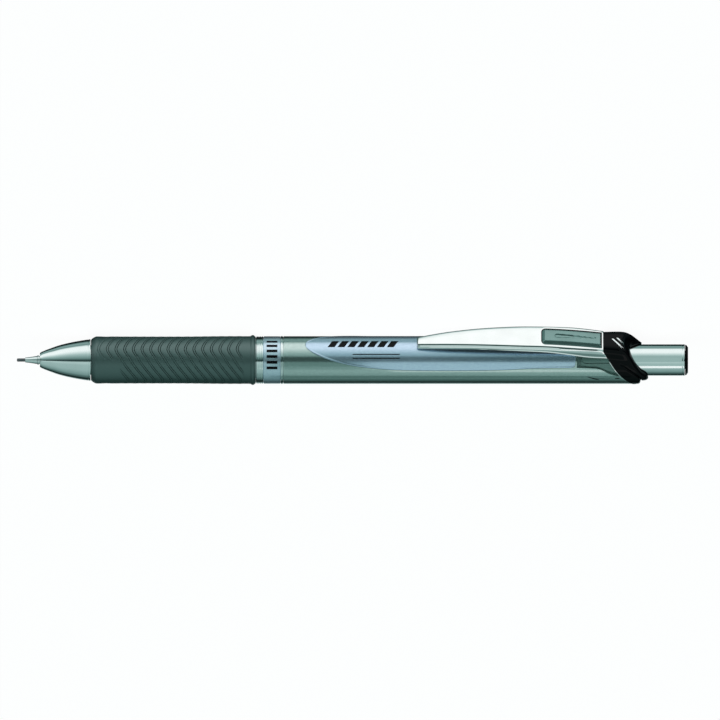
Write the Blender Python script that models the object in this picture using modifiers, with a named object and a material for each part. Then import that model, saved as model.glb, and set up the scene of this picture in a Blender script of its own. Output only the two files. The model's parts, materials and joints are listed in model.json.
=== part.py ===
"""Push-button pencil (a lead holder for 0.7 mm leads), made of its separate pieces.

The pencil is drawn along its own axis: a station runs from the point of the lead (0)
to the end of the push button, a radius is measured from the axis, and the clip is on
the +Z side.  Stations, radii and other sizes are in millimetres until a mesh is made.
At the end the whole assembly is laid on its barrel and the long edge of its clip, as
it lies on a table, with the point towards world +X.
"""

import math

import bmesh
import bpy
from mathutils import Matrix, Vector

MM = 0.001
SEGMENTS = 40
SMALL_SEGMENTS = 20
RUN_GAP = 0.05          # radial clearance between turned pieces that fit together
FACE_GAP = 0.3          # clearance between faces that meet or are cut to each other
BEYOND = 2.0            # how far a cutter reaches past the wall that it cuts

# Lead and its guide
LEAD_R = 0.35
LEAD_LENGTH = 60.0
LEAD_BORE_R = 0.40
TIP_SLEEVE_START = 1.77
TIP_SLEEVE_RIM = 4.69
TIP_SLEEVE_BACK = 7.0

# Nose cone
NOSE_START = 4.90
NOSE_BACK = 15.56
NOSE_SHANK_BACK = 21.0
NOSE_SHANK_R = 3.15
NOSE_BORE_R = 2.65
NOSE_CAVITY_R = 2.40
NOSE_SHOULDER = 13.2
NOSE_CAVITY_START = 9.2
RETAINER_START = 7.3
RETAINER_BACK = 8.9
RETAINER_R = 1.5

# Chuck
CHUCK_FRONT = 14.0
CHUCK_NECK = 17.2
CHUCK_HEAD_R = 1.95
CHUCK_NECK_R = 1.20
JAW_ROOT = 20.0
JAW_HINGE = 20.15
JAW_HINGE_R = 0.8
JAW_COUNT = 3
JAW_SLIT = 0.24
RING_FRONT = 15.0
RING_BACK = 17.0
RING_R = 2.55
CHUCK_SHANK_FRONT = 20.3
CHUCK_SHANK_BACK = 34.0
CHUCK_SHANK_R = 1.25
SLEEVE_FRONT = 17.3
SLEEVE_FLANGE_FRONT = 21.3
SLEEVE_BACK = 22.3
SLEEVE_R = 2.55
SLEEVE_FLANGE_R = 3.0
SPRING_FRONT = 22.6
SPRING_BACK = 30.7
SPRING_R = 2.0
SPRING_WIRE_R = 0.15
SPRING_TURNS = 8
SPRING_POINTS_PER_TURN = 10

# Lead reservoir and eraser
CONNECTOR_FRONT = 31.0
CONNECTOR_FLANGE_BACK = 32.0
CONNECTOR_BACK = 37.5
CONNECTOR_FLANGE_R = 2.5
TUBE_FRONT = 32.1
TUBE_BACK = 127.0
TUBE_R = 2.35
TUBE_BORE_R = 1.90
SPARE_LEAD_START = 62.5
SPARE_LEAD_LENGTH = 58.0
SPARE_LEAD_OFFSET = 1.5
SPARE_LEAD_SIDES = (160.0, 190.0)
FERRULE_FRONT = 121.5
FERRULE_FLANGE = 127.2
FERRULE_BACK = 131.0
ERASER_FRONT = 128.3
ERASER_BACK = 136.0
ERASER_R = 2.0

# Push button
BUTTON_FRONT = 124.6
BUTTON_BACK = 142.3
BUTTON_R = 3.33
BUTTON_BORE_R = 2.42
BUTTON_PLUG_FRONT = 139.0
BUTTON_PLUG_R = 1.95
END_BACK = 143.0

# Grip and rings
CORE_FRONT = 15.9
CORE_R = 3.90
CORE_MOUTH_R = 3.20
CORE_MOUTH_BACK = 21.2
CORE_BORE_R = 3.05
CORE_SEAT_FRONT = 51.2
CORE_SEAT_R = 4.10
CORE_BACK = 62.0
GRIP_FRONT = 15.77
GRIP_BACK = 50.9
GRIP_BORE_R = 3.95
GRIP_RIDGE = 50.25
GRIP_RIDGE_R = 5.33
RING_SEAT_R = 4.15
CENTRE_RING_FRONT = 51.0
CENTRE_RING_BACK = 52.5
BAND_FRONT = 52.6
BAND_BACK = 56.1
REAR_RING_FRONT = 56.2
REAR_RING_BACK = 56.65

# Rear barrel, with its oblique tail
BARREL_FRONT = 56.8
BARREL_R = 5.07
BARREL_BORE_R = 4.40
TAIL_STATION = 129.05   # where the oblique cut crosses the axis
TAIL_SLOPE = 0.767      # how far the cut moves forward for each millimetre towards the clip

# Accent panel: half of its width, as an angle about the axis, along its length
PANEL_EDGE = (
    (61.5, 6.0),
    (63.7, 24.0),
    (66.3, 39.0),
    (70.5, 51.6),
    (74.8, 59.4),
    (81.3, 65.4),
    (92.3, 67.0),
    (102.9, 65.4),
    (110.0, 61.0),
    (119.0, 59.4),
)
PANEL_R = 5.10
PANEL_BACK_R = 4.72
POCKET_R = 4.64
PANEL_GAP_ANGLE = 3.0
PANEL_SPLITS = 12

# Recess behind the panel, for the holder that carries the clip
RECESS_EDGE = (
    (119.3, 59.4),
    (124.2, 63.5),
    (126.4, 77.0),
    (130.2, 86.0),
    (134.0, 88.0),
)
HOLDER_FRONT = 118.0
HOLDER_R = 4.35
HOLDER_BORE_R = 4.00
HOLDER_SETBACK = 0.2
HOLDER_PAD_R = 4.75
HOLDER_PAD_EDGE = (
    (119.6, 55.0),
    (122.2, 57.0),
    (124.2, 59.0),
    (126.0, 69.0),
    (128.0, 77.0),
)
HOLDER_BLOCK_R = 5.00
HOLDER_BLOCK_EDGE = (
    (120.6, 34.0),
    (121.4, 47.0),
    (124.0, 47.0),
    (126.6, 47.0),
)

# Collar round the button, which also roofs the root of the clip
COLLAR_BORE_R = 3.47
COLLAR_SPIGOT_FRONT = 122.0
COLLAR_SPIGOT_R = 3.92
COLLAR_HOOD_FRONT = 125.2
COLLAR_HOOD_TOP = 6.75
COLLAR_HOOD_HALF_WIDTH = 3.0
COLLAR_REAR = 130.8     # where its rear rim ends on the clip's side
COLLAR_REAR_SLANT = 3.7  # how much further back the rim ends on the far side
COLLAR_RIM = 0.45

# Clip: station, height of its face above the axis, half of its width, depth of its sides
CLIP_SHAPE = (
    (85.2, 6.36, 1.10, 1.10),
    (88.5, 6.86, 1.50, 1.15),
    (92.3, 7.33, 1.89, 1.20),
    (98.7, 7.80, 2.39, 1.20),
    (107.2, 7.94, 2.83, 1.20),
    (113.0, 7.82, 2.90, 1.35),
    (117.8, 7.57, 2.90, 1.60),
    (121.5, 7.12, 2.80, 1.85),
    (124.9, 6.58, 2.60, 1.85),
)
CLIP_SHEET = 0.50
CLIP_CORNER = 0.35
CLIP_WIDEST = 107.2
CLIP_TONGUE_BACK = 129.0
CLIP_TONGUE_BOTTOM = 5.25
CLIP_TONGUE_TOP = 5.85
CLIP_TONGUE_HALF_WIDTH = 1.5
CLIP_PIVOT = 127.0
CLIP_PIVOT_HEIGHT = 5.55
CLIP_BUMP = 89.0
CLIP_BUMP_R = 0.85
CLIP_BUMP_HEIGHT = 6.20
CLIP_HEEL = 0.75
WINDOW_FRONT = 111.7
WINDOW_BACK = 123.9
WINDOW_HALF_WIDTH = 2.05
WINDOW_CORNER = 1.0
INSERT_GAP = 0.25
INSERT_SKIRT = 0.70
INSERT_SHOULDER = 0.06
INSERT_RISE = 0.26
INSERT_BEVEL = 0.45


def clear_scene():
    """Remove every object, so that the file holds the pencil and nothing else."""
    for item in list(bpy.data.objects):
        bpy.data.objects.remove(item, do_unlink=True)


def make_collection(name):
    """A collection of its own under the scene."""
    collection = bpy.data.collections.new(name)
    bpy.context.scene.collection.children.link(collection)
    return collection


def make_material(name, colour, roughness, metallic=0.0):
    """A plain Principled material."""
    material = bpy.data.materials.new(name)
    material.use_nodes = True
    shader = material.node_tree.nodes["Principled BSDF"]
    shader.inputs["Base Color"].default_value = (*colour, 1.0)
    shader.inputs["Roughness"].default_value = roughness
    shader.inputs["Metallic"].default_value = metallic
    material.diffuse_color = (*colour, 1.0)
    return material


def add_part(name, mesh, material, origin=(0.0, 0.0, 0.0)):
    """Put a mesh made in pencil coordinates into the scene, with its origin at a given place."""
    shift = Vector(origin) * MM
    mesh.transform(Matrix.Translation(-shift))
    mesh.materials.append(material)
    part = bpy.data.objects.new(name, mesh)
    part.location = shift
    PARTS.objects.link(part)
    return part


def smooth(mesh, sharp_degrees=35.0):
    """Round surfaces shade smooth, and edges sharper than the given angle stay crisp."""
    mesh.shade_smooth()
    mesh.set_sharp_from_angle(angle=math.radians(sharp_degrees))


def outline_area(outline):
    """Signed area of a closed outline."""
    total = 0.0
    for here, there in zip(outline, outline[1:] + outline[:1]):
        total += here[0] * there[1] - there[0] * here[1]
    return total / 2.0


def turned(name, outline, material, segments=SEGMENTS, bored=True):
    """Turn an outline of (station, radius) points about the axis with a Screw modifier.

    A bored piece has a closed outline; a solid one starts and ends on the axis.
    """
    points = list(outline)
    if outline_area(points) < 0.0:
        points.reverse()
    mesh = bpy.data.meshes.new(name)
    corners = [(station * MM, 0.0, radius * MM) for station, radius in points]
    edges = [(index, index + 1) for index in range(len(points) - 1)]
    if bored:
        edges.append((len(points) - 1, 0))
    mesh.from_pydata(corners, edges, [])
    part = add_part(name, mesh, material)
    screw = part.modifiers.new("turn", "SCREW")
    screw.axis = "X"
    screw.steps = segments
    screw.render_steps = segments
    screw.use_merge_vertices = True
    screw.merge_threshold = 1e-6
    screw.use_smooth_shade = True
    return part


def tube_outline(front, back, outer, bore):
    """Outline of a plain tube."""
    return [(front, bore), (front, outer), (back, outer), (back, bore)]


def around(station, radius, angle):
    """A point on a cylinder round the axis; the angle is measured from the clip's side."""
    return Vector((station, radius * math.sin(angle), radius * math.cos(angle))) * MM


def closed_mesh(name, rings, capped):
    """Skin a row of rings that have the same number of points.

    With caps the row has two ends; without them the last ring joins the first.
    """
    shape = bmesh.new()
    layers = [[shape.verts.new(point) for point in ring] for ring in rings]
    pairs = list(zip(layers, layers[1:]))
    if not capped:
        pairs.append((layers[-1], layers[0]))
    count = len(rings[0])
    for near, far in pairs:
        for index in range(count):
            after = (index + 1) % count
            shape.faces.new((near[index], near[after], far[after], far[index]))
    if capped:
        shape.faces.new(layers[0])
        shape.faces.new(layers[-1])
    bmesh.ops.recalc_face_normals(shape, faces=shape.faces)
    mesh = bpy.data.meshes.new(name)
    shape.to_mesh(mesh)
    shape.free()
    smooth(mesh)
    return mesh


def turned_with(name, outline_at, segments=SEGMENTS):
    """Like a turned piece, but the outline may change with the angle round the axis."""
    rings = []
    for step in range(segments):
        angle = 2.0 * math.pi * step / segments
        rings.append([around(station, radius, angle) for station, radius in outline_at(angle)])
    return closed_mesh(name, rings, capped=False)


def eased(table, station):
    """Values of a table at a station, on a smooth curve through its rows."""
    if station <= table[0][0]:
        return table[0][1:]
    if station >= table[-1][0]:
        return table[-1][1:]
    index = max(i for i, row in enumerate(table[:-1]) if row[0] <= station)
    before = table[max(index - 1, 0)]
    low = table[index]
    high = table[index + 1]
    after = table[min(index + 2, len(table) - 1)]
    span = high[0] - low[0]
    share = (station - low[0]) / span
    values = []
    for column in range(1, len(low)):
        slope_low = (high[column] - before[column]) / (high[0] - before[0]) * span
        slope_high = (after[column] - low[column]) / (after[0] - low[0]) * span
        rise = high[column] - low[column]
        values.append(
            low[column]
            + slope_low * share
            + (3.0 * rise - 2.0 * slope_low - slope_high) * share ** 2
            + (slope_low + slope_high - 2.0 * rise) * share ** 3
        )
    return tuple(values)


def curved_plate(name, edge, bottom, top, extra_angle=0.0, extra_length=0.0, setback=None):
    """A plate bent round the axis, whose half width at each station is an angle.

    With a setback it leans more and more towards its back, and ends that far short of
    the tail cut.
    """
    rings = []
    last = len(edge) - 1
    for row, (station, half) in enumerate(edge):
        if row == 0:
            station -= extra_length
        if row == last:
            station += extra_length
        reach = math.radians(half + extra_angle)
        angles = [reach * (2.0 * step / PANEL_SPLITS - 1.0) for step in range(PANEL_SPLITS + 1)]
        ring = []
        for radius, turns in ((top, angles), (bottom, angles[::-1])):
            for angle in turns:
                lean = 0.0
                if setback is not None:
                    lean = (tail_cut(radius, angle) - setback - edge[-1][0]) * row / last
                ring.append(around(station + lean, radius, angle))
        rings.append(ring)
    return closed_mesh(name, rings, capped=True)


def add_cutter(name, mesh):
    """A shape that only cuts or joins other pieces."""
    cutter = bpy.data.objects.new(name, mesh)
    CUTTERS.objects.link(cutter)
    cutter.hide_render = True
    cutter.display_type = "WIRE"
    return cutter


def boolean(part, cutter, operation):
    """Cut a piece with a cutter, or join the cutter to it."""
    change = part.modifiers.new(cutter.name, "BOOLEAN")
    change.operation = operation
    change.solver = "EXACT"
    change.object = cutter


def tail_cut(radius, angle):
    """Station of the oblique tail cut at a place on a cylinder."""
    return TAIL_STATION - TAIL_SLOPE * radius * math.cos(angle)


def build_lead(material):
    """The writing lead, with its point a little worn."""
    worn = 0.15
    outline = [
        (0.0, 0.0),
        (0.0, LEAD_R - worn),
        (worn, LEAD_R),
        (LEAD_LENGTH, LEAD_R),
        (LEAD_LENGTH, 0.0),
    ]
    turned("lead", outline, material, SMALL_SEGMENTS, bored=False)


def build_spare_leads(material):
    """Spare leads lying side by side on the wall of the reservoir."""
    for number, side in enumerate(SPARE_LEAD_SIDES, start=1):
        angle = math.radians(side)
        centre = around(0.0, SPARE_LEAD_OFFSET, angle)
        end = SPARE_LEAD_START + SPARE_LEAD_LENGTH
        outline = [
            (SPARE_LEAD_START, 0.0),
            (SPARE_LEAD_START, LEAD_R),
            (end, LEAD_R),
            (end, 0.0),
        ]
        spare = turned(f"spare_lead_{number}", outline, material, SMALL_SEGMENTS, bored=False)
        spare.location = centre


def build_tip_sleeve(material):
    """The small metal cone that guides the lead, with a shank pressed into the nose."""
    outline = [
        (TIP_SLEEVE_START, LEAD_BORE_R),
        (TIP_SLEEVE_START, LEAD_BORE_R + 0.12),
        (TIP_SLEEVE_RIM - 0.35, 0.86),
        (TIP_SLEEVE_RIM - 0.25, 0.98),
        (TIP_SLEEVE_RIM, 0.98),
        (TIP_SLEEVE_RIM, 0.85),
        (TIP_SLEEVE_BACK, 0.85),
        (TIP_SLEEVE_BACK, LEAD_BORE_R),
    ]
    turned("tip_sleeve", outline, material, SMALL_SEGMENTS)


def build_lead_retainer(material):
    """The rubber ring in the nose that keeps the lead from falling out."""
    outline = tube_outline(RETAINER_START, RETAINER_BACK, RETAINER_R, LEAD_R + 0.02)
    turned("lead_retainer", outline, material, SMALL_SEGMENTS)


def build_nose_cone(material):
    """The metal nose: an ogive outside, stepped bores inside, and a screwed shank."""
    outline = [
        (NOSE_START, 0.90),
        (NOSE_START, 1.60),
        (7.46, 2.58),
        (10.0, 3.35),
        (12.6, 3.95),
        (NOSE_BACK - 0.15, 4.41),
        (NOSE_BACK, 4.33),
        (NOSE_BACK, NOSE_SHANK_R),
        (NOSE_SHANK_BACK, NOSE_SHANK_R),
        (NOSE_SHANK_BACK, NOSE_BORE_R),
        (NOSE_SHOULDER, NOSE_BORE_R),
        (NOSE_SHOULDER, NOSE_CAVITY_R),
        (NOSE_CAVITY_START, NOSE_CAVITY_R),
        (NOSE_CAVITY_START, RETAINER_R + RUN_GAP),
        (RETAINER_START - 0.15, RETAINER_R + RUN_GAP),
        (RETAINER_START - 0.15, 0.90),
    ]
    turned("nose_cone", outline, material)


def build_chuck_ring(material):
    """The ring that squeezes the jaws; its bore is a cone that matches the chuck's head."""
    outline = tube_outline(RING_FRONT, RING_BACK, RING_R, 1.80)
    outline[0] = (RING_FRONT, CHUCK_HEAD_R + 0.08)
    turned("chuck_ring", outline, material, SMALL_SEGMENTS)


def build_chuck_jaws(material):
    """Three fingers round the lead, each with its origin where it bends at its root."""
    sector = 2.0 * math.pi / JAW_COUNT
    for number in range(1, JAW_COUNT + 1):
        middle = sector * (number - 1)
        rows = (
            (CHUCK_FRONT, CHUCK_HEAD_R - 0.15),
            (CHUCK_FRONT + 0.2, CHUCK_HEAD_R),
            (CHUCK_FRONT + 0.9, CHUCK_HEAD_R),
            (RING_BACK - 0.3, 1.70),
            (CHUCK_NECK, CHUCK_NECK_R),
            (JAW_ROOT, CHUCK_NECK_R),
        )
        rings = []
        for station, outer in rows:
            ring = []
            for radius, steps in ((outer, range(-3, 4)), (LEAD_BORE_R, range(3, -4, -1))):
                reach = sector / 2.0 - JAW_SLIT / 2.0 / radius
                ring += [around(station, radius, middle + reach * step / 3.0) for step in steps]
            rings.append(ring)
        mesh = closed_mesh(f"chuck_jaw_{number}", rings, capped=True)
        hinge = around(JAW_HINGE, JAW_HINGE_R, middle) / MM
        add_part(f"chuck_jaw_{number}", mesh, material, hinge)


def build_chuck_body(material):
    """The shank of the chuck, behind the roots of its jaws."""
    outline = tube_outline(CHUCK_SHANK_FRONT, CHUCK_SHANK_BACK, CHUCK_SHANK_R, LEAD_BORE_R + 0.1)
    turned("chuck_body", outline, material, SMALL_SEGMENTS)


def build_clutch_sleeve(material):
    """The sleeve behind the ring: it stops the ring and seats the spring."""
    outline = [
        (SLEEVE_FRONT, 2.0),
        (SLEEVE_FRONT, SLEEVE_R),
        (SLEEVE_FLANGE_FRONT, SLEEVE_R),
        (SLEEVE_FLANGE_FRONT, SLEEVE_FLANGE_R),
        (SLEEVE_BACK, SLEEVE_FLANGE_R),
        (SLEEVE_BACK, CHUCK_SHANK_R + 0.1),
        (SLEEVE_FLANGE_FRONT, CHUCK_SHANK_R + 0.1),
        (SLEEVE_FLANGE_FRONT, 2.0),
    ]
    turned("clutch_sleeve", outline, material, SMALL_SEGMENTS)


def build_chuck_spring(material):
    """The return spring round the shank of the chuck, with its end turns close together."""
    curve = bpy.data.curves.new("chuck_spring", "CURVE")
    curve.dimensions = "3D"
    curve.bevel_depth = SPRING_WIRE_R * MM
    curve.bevel_resolution = 1
    curve.use_fill_caps = True
    curve.materials.append(material)
    count = SPRING_TURNS * SPRING_POINTS_PER_TURN + 1
    spline = curve.splines.new("POLY")
    spline.points.add(count - 1)
    start = SPRING_FRONT + SPRING_WIRE_R
    length = SPRING_BACK - SPRING_FRONT - 2.0 * SPRING_WIRE_R
    flat = 0.35 / SPRING_TURNS
    for index in range(count):
        share = index / (count - 1)
        climb = share - flat * math.sin(2.0 * math.pi * share)
        turn = 2.0 * math.pi * SPRING_TURNS * share
        spline.points[index].co = (*around(start + length * climb, SPRING_R, turn), 1.0)
    spring = bpy.data.objects.new("chuck_spring", curve)
    PARTS.objects.link(spring)


def build_chuck_connector(material):
    """The plug that joins the chuck to the reservoir and funnels the leads."""
    outline = [
        (CONNECTOR_FRONT, CHUCK_SHANK_R + RUN_GAP),
        (CONNECTOR_FRONT, CONNECTOR_FLANGE_R),
        (CONNECTOR_FLANGE_BACK, CONNECTOR_FLANGE_R),
        (CONNECTOR_FLANGE_BACK, TUBE_BORE_R - RUN_GAP),
        (CONNECTOR_BACK, TUBE_BORE_R - RUN_GAP),
        (CONNECTOR_BACK, TUBE_BORE_R - 0.35),
        (CHUCK_SHANK_BACK + 1.5, LEAD_BORE_R + 0.1),
        (CHUCK_SHANK_BACK + 0.1, LEAD_BORE_R + 0.1),
        (CHUCK_SHANK_BACK + 0.1, CHUCK_SHANK_R + RUN_GAP),
    ]
    turned("chuck_connector", outline, material, SMALL_SEGMENTS)


def build_reservoir_tube(material):
    """The long tube that holds the leads and carries the push to the chuck."""
    outline = tube_outline(TUBE_FRONT, TUBE_BACK, TUBE_R, TUBE_BORE_R)
    turned("reservoir_tube", outline, material, SMALL_SEGMENTS)


def build_eraser_ferrule(material):
    """The cup that holds the eraser and closes the reservoir."""
    plug = TUBE_BORE_R - RUN_GAP
    outline = [
        (FERRULE_FRONT, plug - 0.35),
        (FERRULE_FRONT, plug),
        (FERRULE_FLANGE, plug),
        (FERRULE_FLANGE, TUBE_R),
        (FERRULE_BACK, TUBE_R),
        (FERRULE_BACK, ERASER_R + RUN_GAP),
        (ERASER_FRONT - 0.1, ERASER_R + RUN_GAP),
        (ERASER_FRONT - 0.1, 0.3),
        (FERRULE_FLANGE, 0.3),
        (FERRULE_FLANGE - 0.6, plug - 0.35),
    ]
    turned("eraser_ferrule", outline, material, SMALL_SEGMENTS)


def build_eraser(material):
    """The eraser under the button."""
    soft = 0.3
    outline = [
        (ERASER_FRONT, 0.0),
        (ERASER_FRONT, ERASER_R),
        (ERASER_BACK - soft, ERASER_R),
        (ERASER_BACK, ERASER_R - soft),
        (ERASER_BACK, 0.0),
    ]
    turned("eraser", outline, material, SMALL_SEGMENTS, bored=False)


def build_push_button(material):
    """The bright tube that is pressed, a push fit on the reservoir tube."""
    edge = 0.12
    outline = [
        (BUTTON_FRONT, BUTTON_BORE_R),
        (BUTTON_FRONT, BUTTON_R),
        (BUTTON_BACK - edge, BUTTON_R),
        (BUTTON_BACK, BUTTON_R - edge),
        (BUTTON_BACK, BUTTON_PLUG_R + RUN_GAP),
        (BUTTON_PLUG_FRONT, BUTTON_PLUG_R + RUN_GAP),
        (BUTTON_PLUG_FRONT - 0.5, BUTTON_BORE_R),
    ]
    turned("push_button", outline, material)


def build_button_end(material):
    """The dark disc that closes the button, with a flat thumb face."""
    outline = [
        (BUTTON_PLUG_FRONT, 0.0),
        (BUTTON_PLUG_FRONT, BUTTON_PLUG_R),
        (BUTTON_BACK + 0.06, BUTTON_PLUG_R),
        (BUTTON_BACK + 0.06, BUTTON_R - 0.05),
        (END_BACK - 0.35, BUTTON_R - 0.10),
        (END_BACK, BUTTON_R - 0.60),
        (END_BACK, 0.0),
    ]
    turned("button_end", outline, material, bored=False)


def build_front_barrel(material):
    """The hard core under the grip, which carries the rings and screws into the rear barrel."""
    outline = [
        (CORE_FRONT, CORE_MOUTH_R),
        (CORE_FRONT, CORE_R),
        (CORE_SEAT_FRONT, CORE_R),
        (CORE_SEAT_FRONT, CORE_SEAT_R),
        (CORE_BACK, CORE_SEAT_R),
        (CORE_BACK, CORE_BORE_R),
        (CORE_MOUTH_BACK, CORE_BORE_R),
        (CORE_MOUTH_BACK, CORE_MOUTH_R),
    ]
    turned("front_barrel", outline, material)


def build_rubber_grip(material):
    """The rubber grip: chamfered at the front, slightly waisted, with a ridge at the back."""
    outline = [
        (GRIP_FRONT, GRIP_BORE_R),
        (GRIP_FRONT, 4.40),
        (GRIP_FRONT + 1.05, 5.03),
        (24.0, 4.97),
        (40.0, 4.97),
        (44.0, 5.05),
        (GRIP_RIDGE - 0.65, 5.07),
        (GRIP_RIDGE - 0.35, GRIP_RIDGE_R - 0.07),
        (GRIP_RIDGE, GRIP_RIDGE_R),
        (GRIP_RIDGE + 0.35, GRIP_RIDGE_R - 0.07),
        (GRIP_BACK, 5.05),
        (GRIP_BACK, GRIP_BORE_R),
    ]
    turned("rubber_grip", outline, material)


def build_rings(chrome, band):
    """The bright rings and the tinted band between the grip and the rear barrel."""
    groove = 0.12
    pitch = (CENTRE_RING_BACK - CENTRE_RING_FRONT) / 4.0
    outline = [(CENTRE_RING_FRONT, RING_SEAT_R)]
    for ridge in range(4):
        start = CENTRE_RING_FRONT + pitch * ridge
        outline.append((start + 0.02, BARREL_R - groove))
        outline.append((start + pitch / 2.0, BARREL_R))
    outline += [(CENTRE_RING_BACK, BARREL_R - groove), (CENTRE_RING_BACK, RING_SEAT_R)]
    turned("center_ring", outline, chrome)
    turned("name_band", tube_outline(BAND_FRONT, BAND_BACK, BARREL_R - 0.02, RING_SEAT_R), band)
    turned("rear_ring", tube_outline(REAR_RING_FRONT, REAR_RING_BACK, BARREL_R, RING_SEAT_R), chrome)


def build_rear_barrel(material):
    """The metallic barrel, with its oblique tail, the panel's pocket and the holder's recess."""

    def outline_at(angle):
        return [
            (BARREL_FRONT, BARREL_BORE_R),
            (BARREL_FRONT, BARREL_R),
            (tail_cut(BARREL_R, angle), BARREL_R),
            (tail_cut(BARREL_BORE_R, angle), BARREL_BORE_R),
        ]

    barrel = add_part("rear_barrel", turned_with("rear_barrel", outline_at), material)
    gap = FACE_GAP / 2.0
    pocket = curved_plate("panel_pocket", PANEL_EDGE, POCKET_R, BARREL_R + BEYOND, PANEL_GAP_ANGLE, gap)
    boolean(barrel, add_cutter("panel_pocket", pocket), "DIFFERENCE")
    recess = curved_plate("holder_recess", RECESS_EDGE, BARREL_BORE_R - 0.6, BARREL_R + BEYOND)
    boolean(barrel, add_cutter("holder_recess", recess), "DIFFERENCE")


def build_accent_panel(material):
    """The tinted panel let into the barrel under the clip."""
    mesh = curved_plate("accent_panel", PANEL_EDGE, PANEL_BACK_R, PANEL_R)
    add_part("accent_panel", mesh, material)


def build_clip_holder(material):
    """The sleeve in the tail, with the raised pad and block that fill the barrel's recess."""

    def outline_at(angle):
        return [
            (HOLDER_FRONT, HOLDER_BORE_R),
            (HOLDER_FRONT, HOLDER_R),
            (tail_cut(HOLDER_R, angle) - HOLDER_SETBACK, HOLDER_R),
            (tail_cut(HOLDER_BORE_R, angle) - HOLDER_SETBACK, HOLDER_BORE_R),
        ]

    holder = add_part("clip_holder", turned_with("clip_holder", outline_at), material)
    inside = (HOLDER_R + HOLDER_BORE_R) / 2.0
    pad = curved_plate("holder_pad", HOLDER_PAD_EDGE, inside, HOLDER_PAD_R, setback=0.0)
    boolean(holder, add_cutter("holder_pad", pad), "UNION")
    back = HOLDER_SETBACK / 2.0
    block = curved_plate("holder_block", HOLDER_BLOCK_EDGE, inside + 0.05, HOLDER_BLOCK_R, setback=back)
    boolean(holder, add_cutter("holder_block", block), "UNION")


def collar_radius(angle, station):
    """Outer radius of the collar: round like the barrel, with a hood on the clip's side."""
    top = COLLAR_HOOD_TOP - 0.10 * max(station - COLLAR_HOOD_FRONT, 0.0)
    side = abs(math.sin(angle))
    front = max(math.cos(angle), 0.05)
    roundness = 6.0
    box = (front / top) ** roundness + (side / COLLAR_HOOD_HALF_WIDTH) ** roundness
    hood = box ** (-1.0 / roundness) if math.cos(angle) > 0.0 else 0.0
    sharpness = 14.0
    return (hood ** sharpness + BARREL_R ** sharpness) ** (1.0 / sharpness)


def collar_rear(angle):
    """Station where the collar's rear rim ends, slanting back away from the clip."""
    return COLLAR_REAR + COLLAR_REAR_SLANT * (1.0 - math.cos(angle)) / 2.0


def build_rear_collar(material):
    """The black collar: a spigot in the holder, a hood over the clip's root, a slanting rim."""

    def face(radius, angle):
        return max(tail_cut(radius, angle) + FACE_GAP, COLLAR_HOOD_FRONT)

    def outline_at(angle):
        rim = collar_rear(angle)
        outer = collar_radius(angle, COLLAR_HOOD_FRONT)
        start = face(outer, angle)
        points = [
            (COLLAR_SPIGOT_FRONT, COLLAR_BORE_R),
            (COLLAR_SPIGOT_FRONT, COLLAR_SPIGOT_R),
            (face(COLLAR_SPIGOT_R, angle), COLLAR_SPIGOT_R),
            (start, outer),
        ]
        end = COLLAR_BORE_R + COLLAR_RIM
        for turn in (20.0, 45.0, 65.0, 80.0, 90.0):
            reach = math.radians(turn)
            station = start + (rim - start) * (0.35 + 0.65 * math.sin(reach))
            points.append((station, end + (outer - end) * math.cos(reach) ** 0.8))
        points.append((rim, COLLAR_BORE_R))
        return points

    collar = add_part("rear_collar", turned_with("rear_collar", outline_at), material)
    slot = box_mesh(
        "tongue_slot",
        (COLLAR_HOOD_FRONT - BEYOND, -CLIP_TONGUE_HALF_WIDTH - FACE_GAP, CLIP_TONGUE_BOTTOM - FACE_GAP),
        (CLIP_TONGUE_BACK + FACE_GAP, CLIP_TONGUE_HALF_WIDTH + FACE_GAP, CLIP_TONGUE_TOP + FACE_GAP),
    )
    boolean(collar, add_cutter("tongue_slot", slot), "DIFFERENCE")


def box_mesh(name, low, high):
    """A box between two corners."""
    shape = bmesh.new()
    bmesh.ops.create_cube(shape, size=1.0)
    size = [(b - a) * MM for a, b in zip(low, high)]
    middle = [(a + b) / 2.0 * MM for a, b in zip(low, high)]
    bmesh.ops.scale(shape, vec=size, verts=shape.verts)
    bmesh.ops.translate(shape, vec=middle, verts=shape.verts)
    mesh = bpy.data.meshes.new(name)
    shape.to_mesh(mesh)
    shape.free()
    return mesh


def clip_section(station):
    """Section of the clip: a shallow channel with rounded shoulders and a crowned face."""
    height, half, depth = eased(CLIP_SHAPE, station)
    corner = CLIP_CORNER
    outer = [(half, height - depth)]
    for turn in (0.0, 45.0, 90.0):
        reach = math.radians(turn)
        outer.append((half - corner + corner * math.cos(reach), height - corner + corner * math.sin(reach)))
    inside = half - CLIP_SHEET
    inner = [(inside, height - CLIP_SHEET - 0.15), (inside, height - depth)]
    right = outer
    left = [(-y, z) for y, z in reversed(outer)]
    under_left = [(-y, z) for y, z in reversed(inner)]
    section = right + [(0.0, height + 0.06)] + left + under_left + inner
    return [Vector((station, y, z)) * MM for y, z in section]


def rounded_half(station, front, back, half, corner):
    """Half width of a rounded rectangle at a station."""
    inset = max(front + corner - station, station - (back - corner), 0.0)
    return half - corner + math.sqrt(max(corner ** 2 - inset ** 2, 0.0))


def rounded_stations(front, back, corner, rows):
    """Stations along a rounded rectangle, closer together round its corners."""
    turns = (0.0, 30.0, 60.0, 90.0)
    start = [front + corner * (1.0 - math.cos(math.radians(turn))) for turn in turns]
    end = [front + back - station for station in reversed(start)]
    middle = [start[-1] + (end[0] - start[-1]) * row / rows for row in range(1, rows)]
    return start + middle + end


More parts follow.
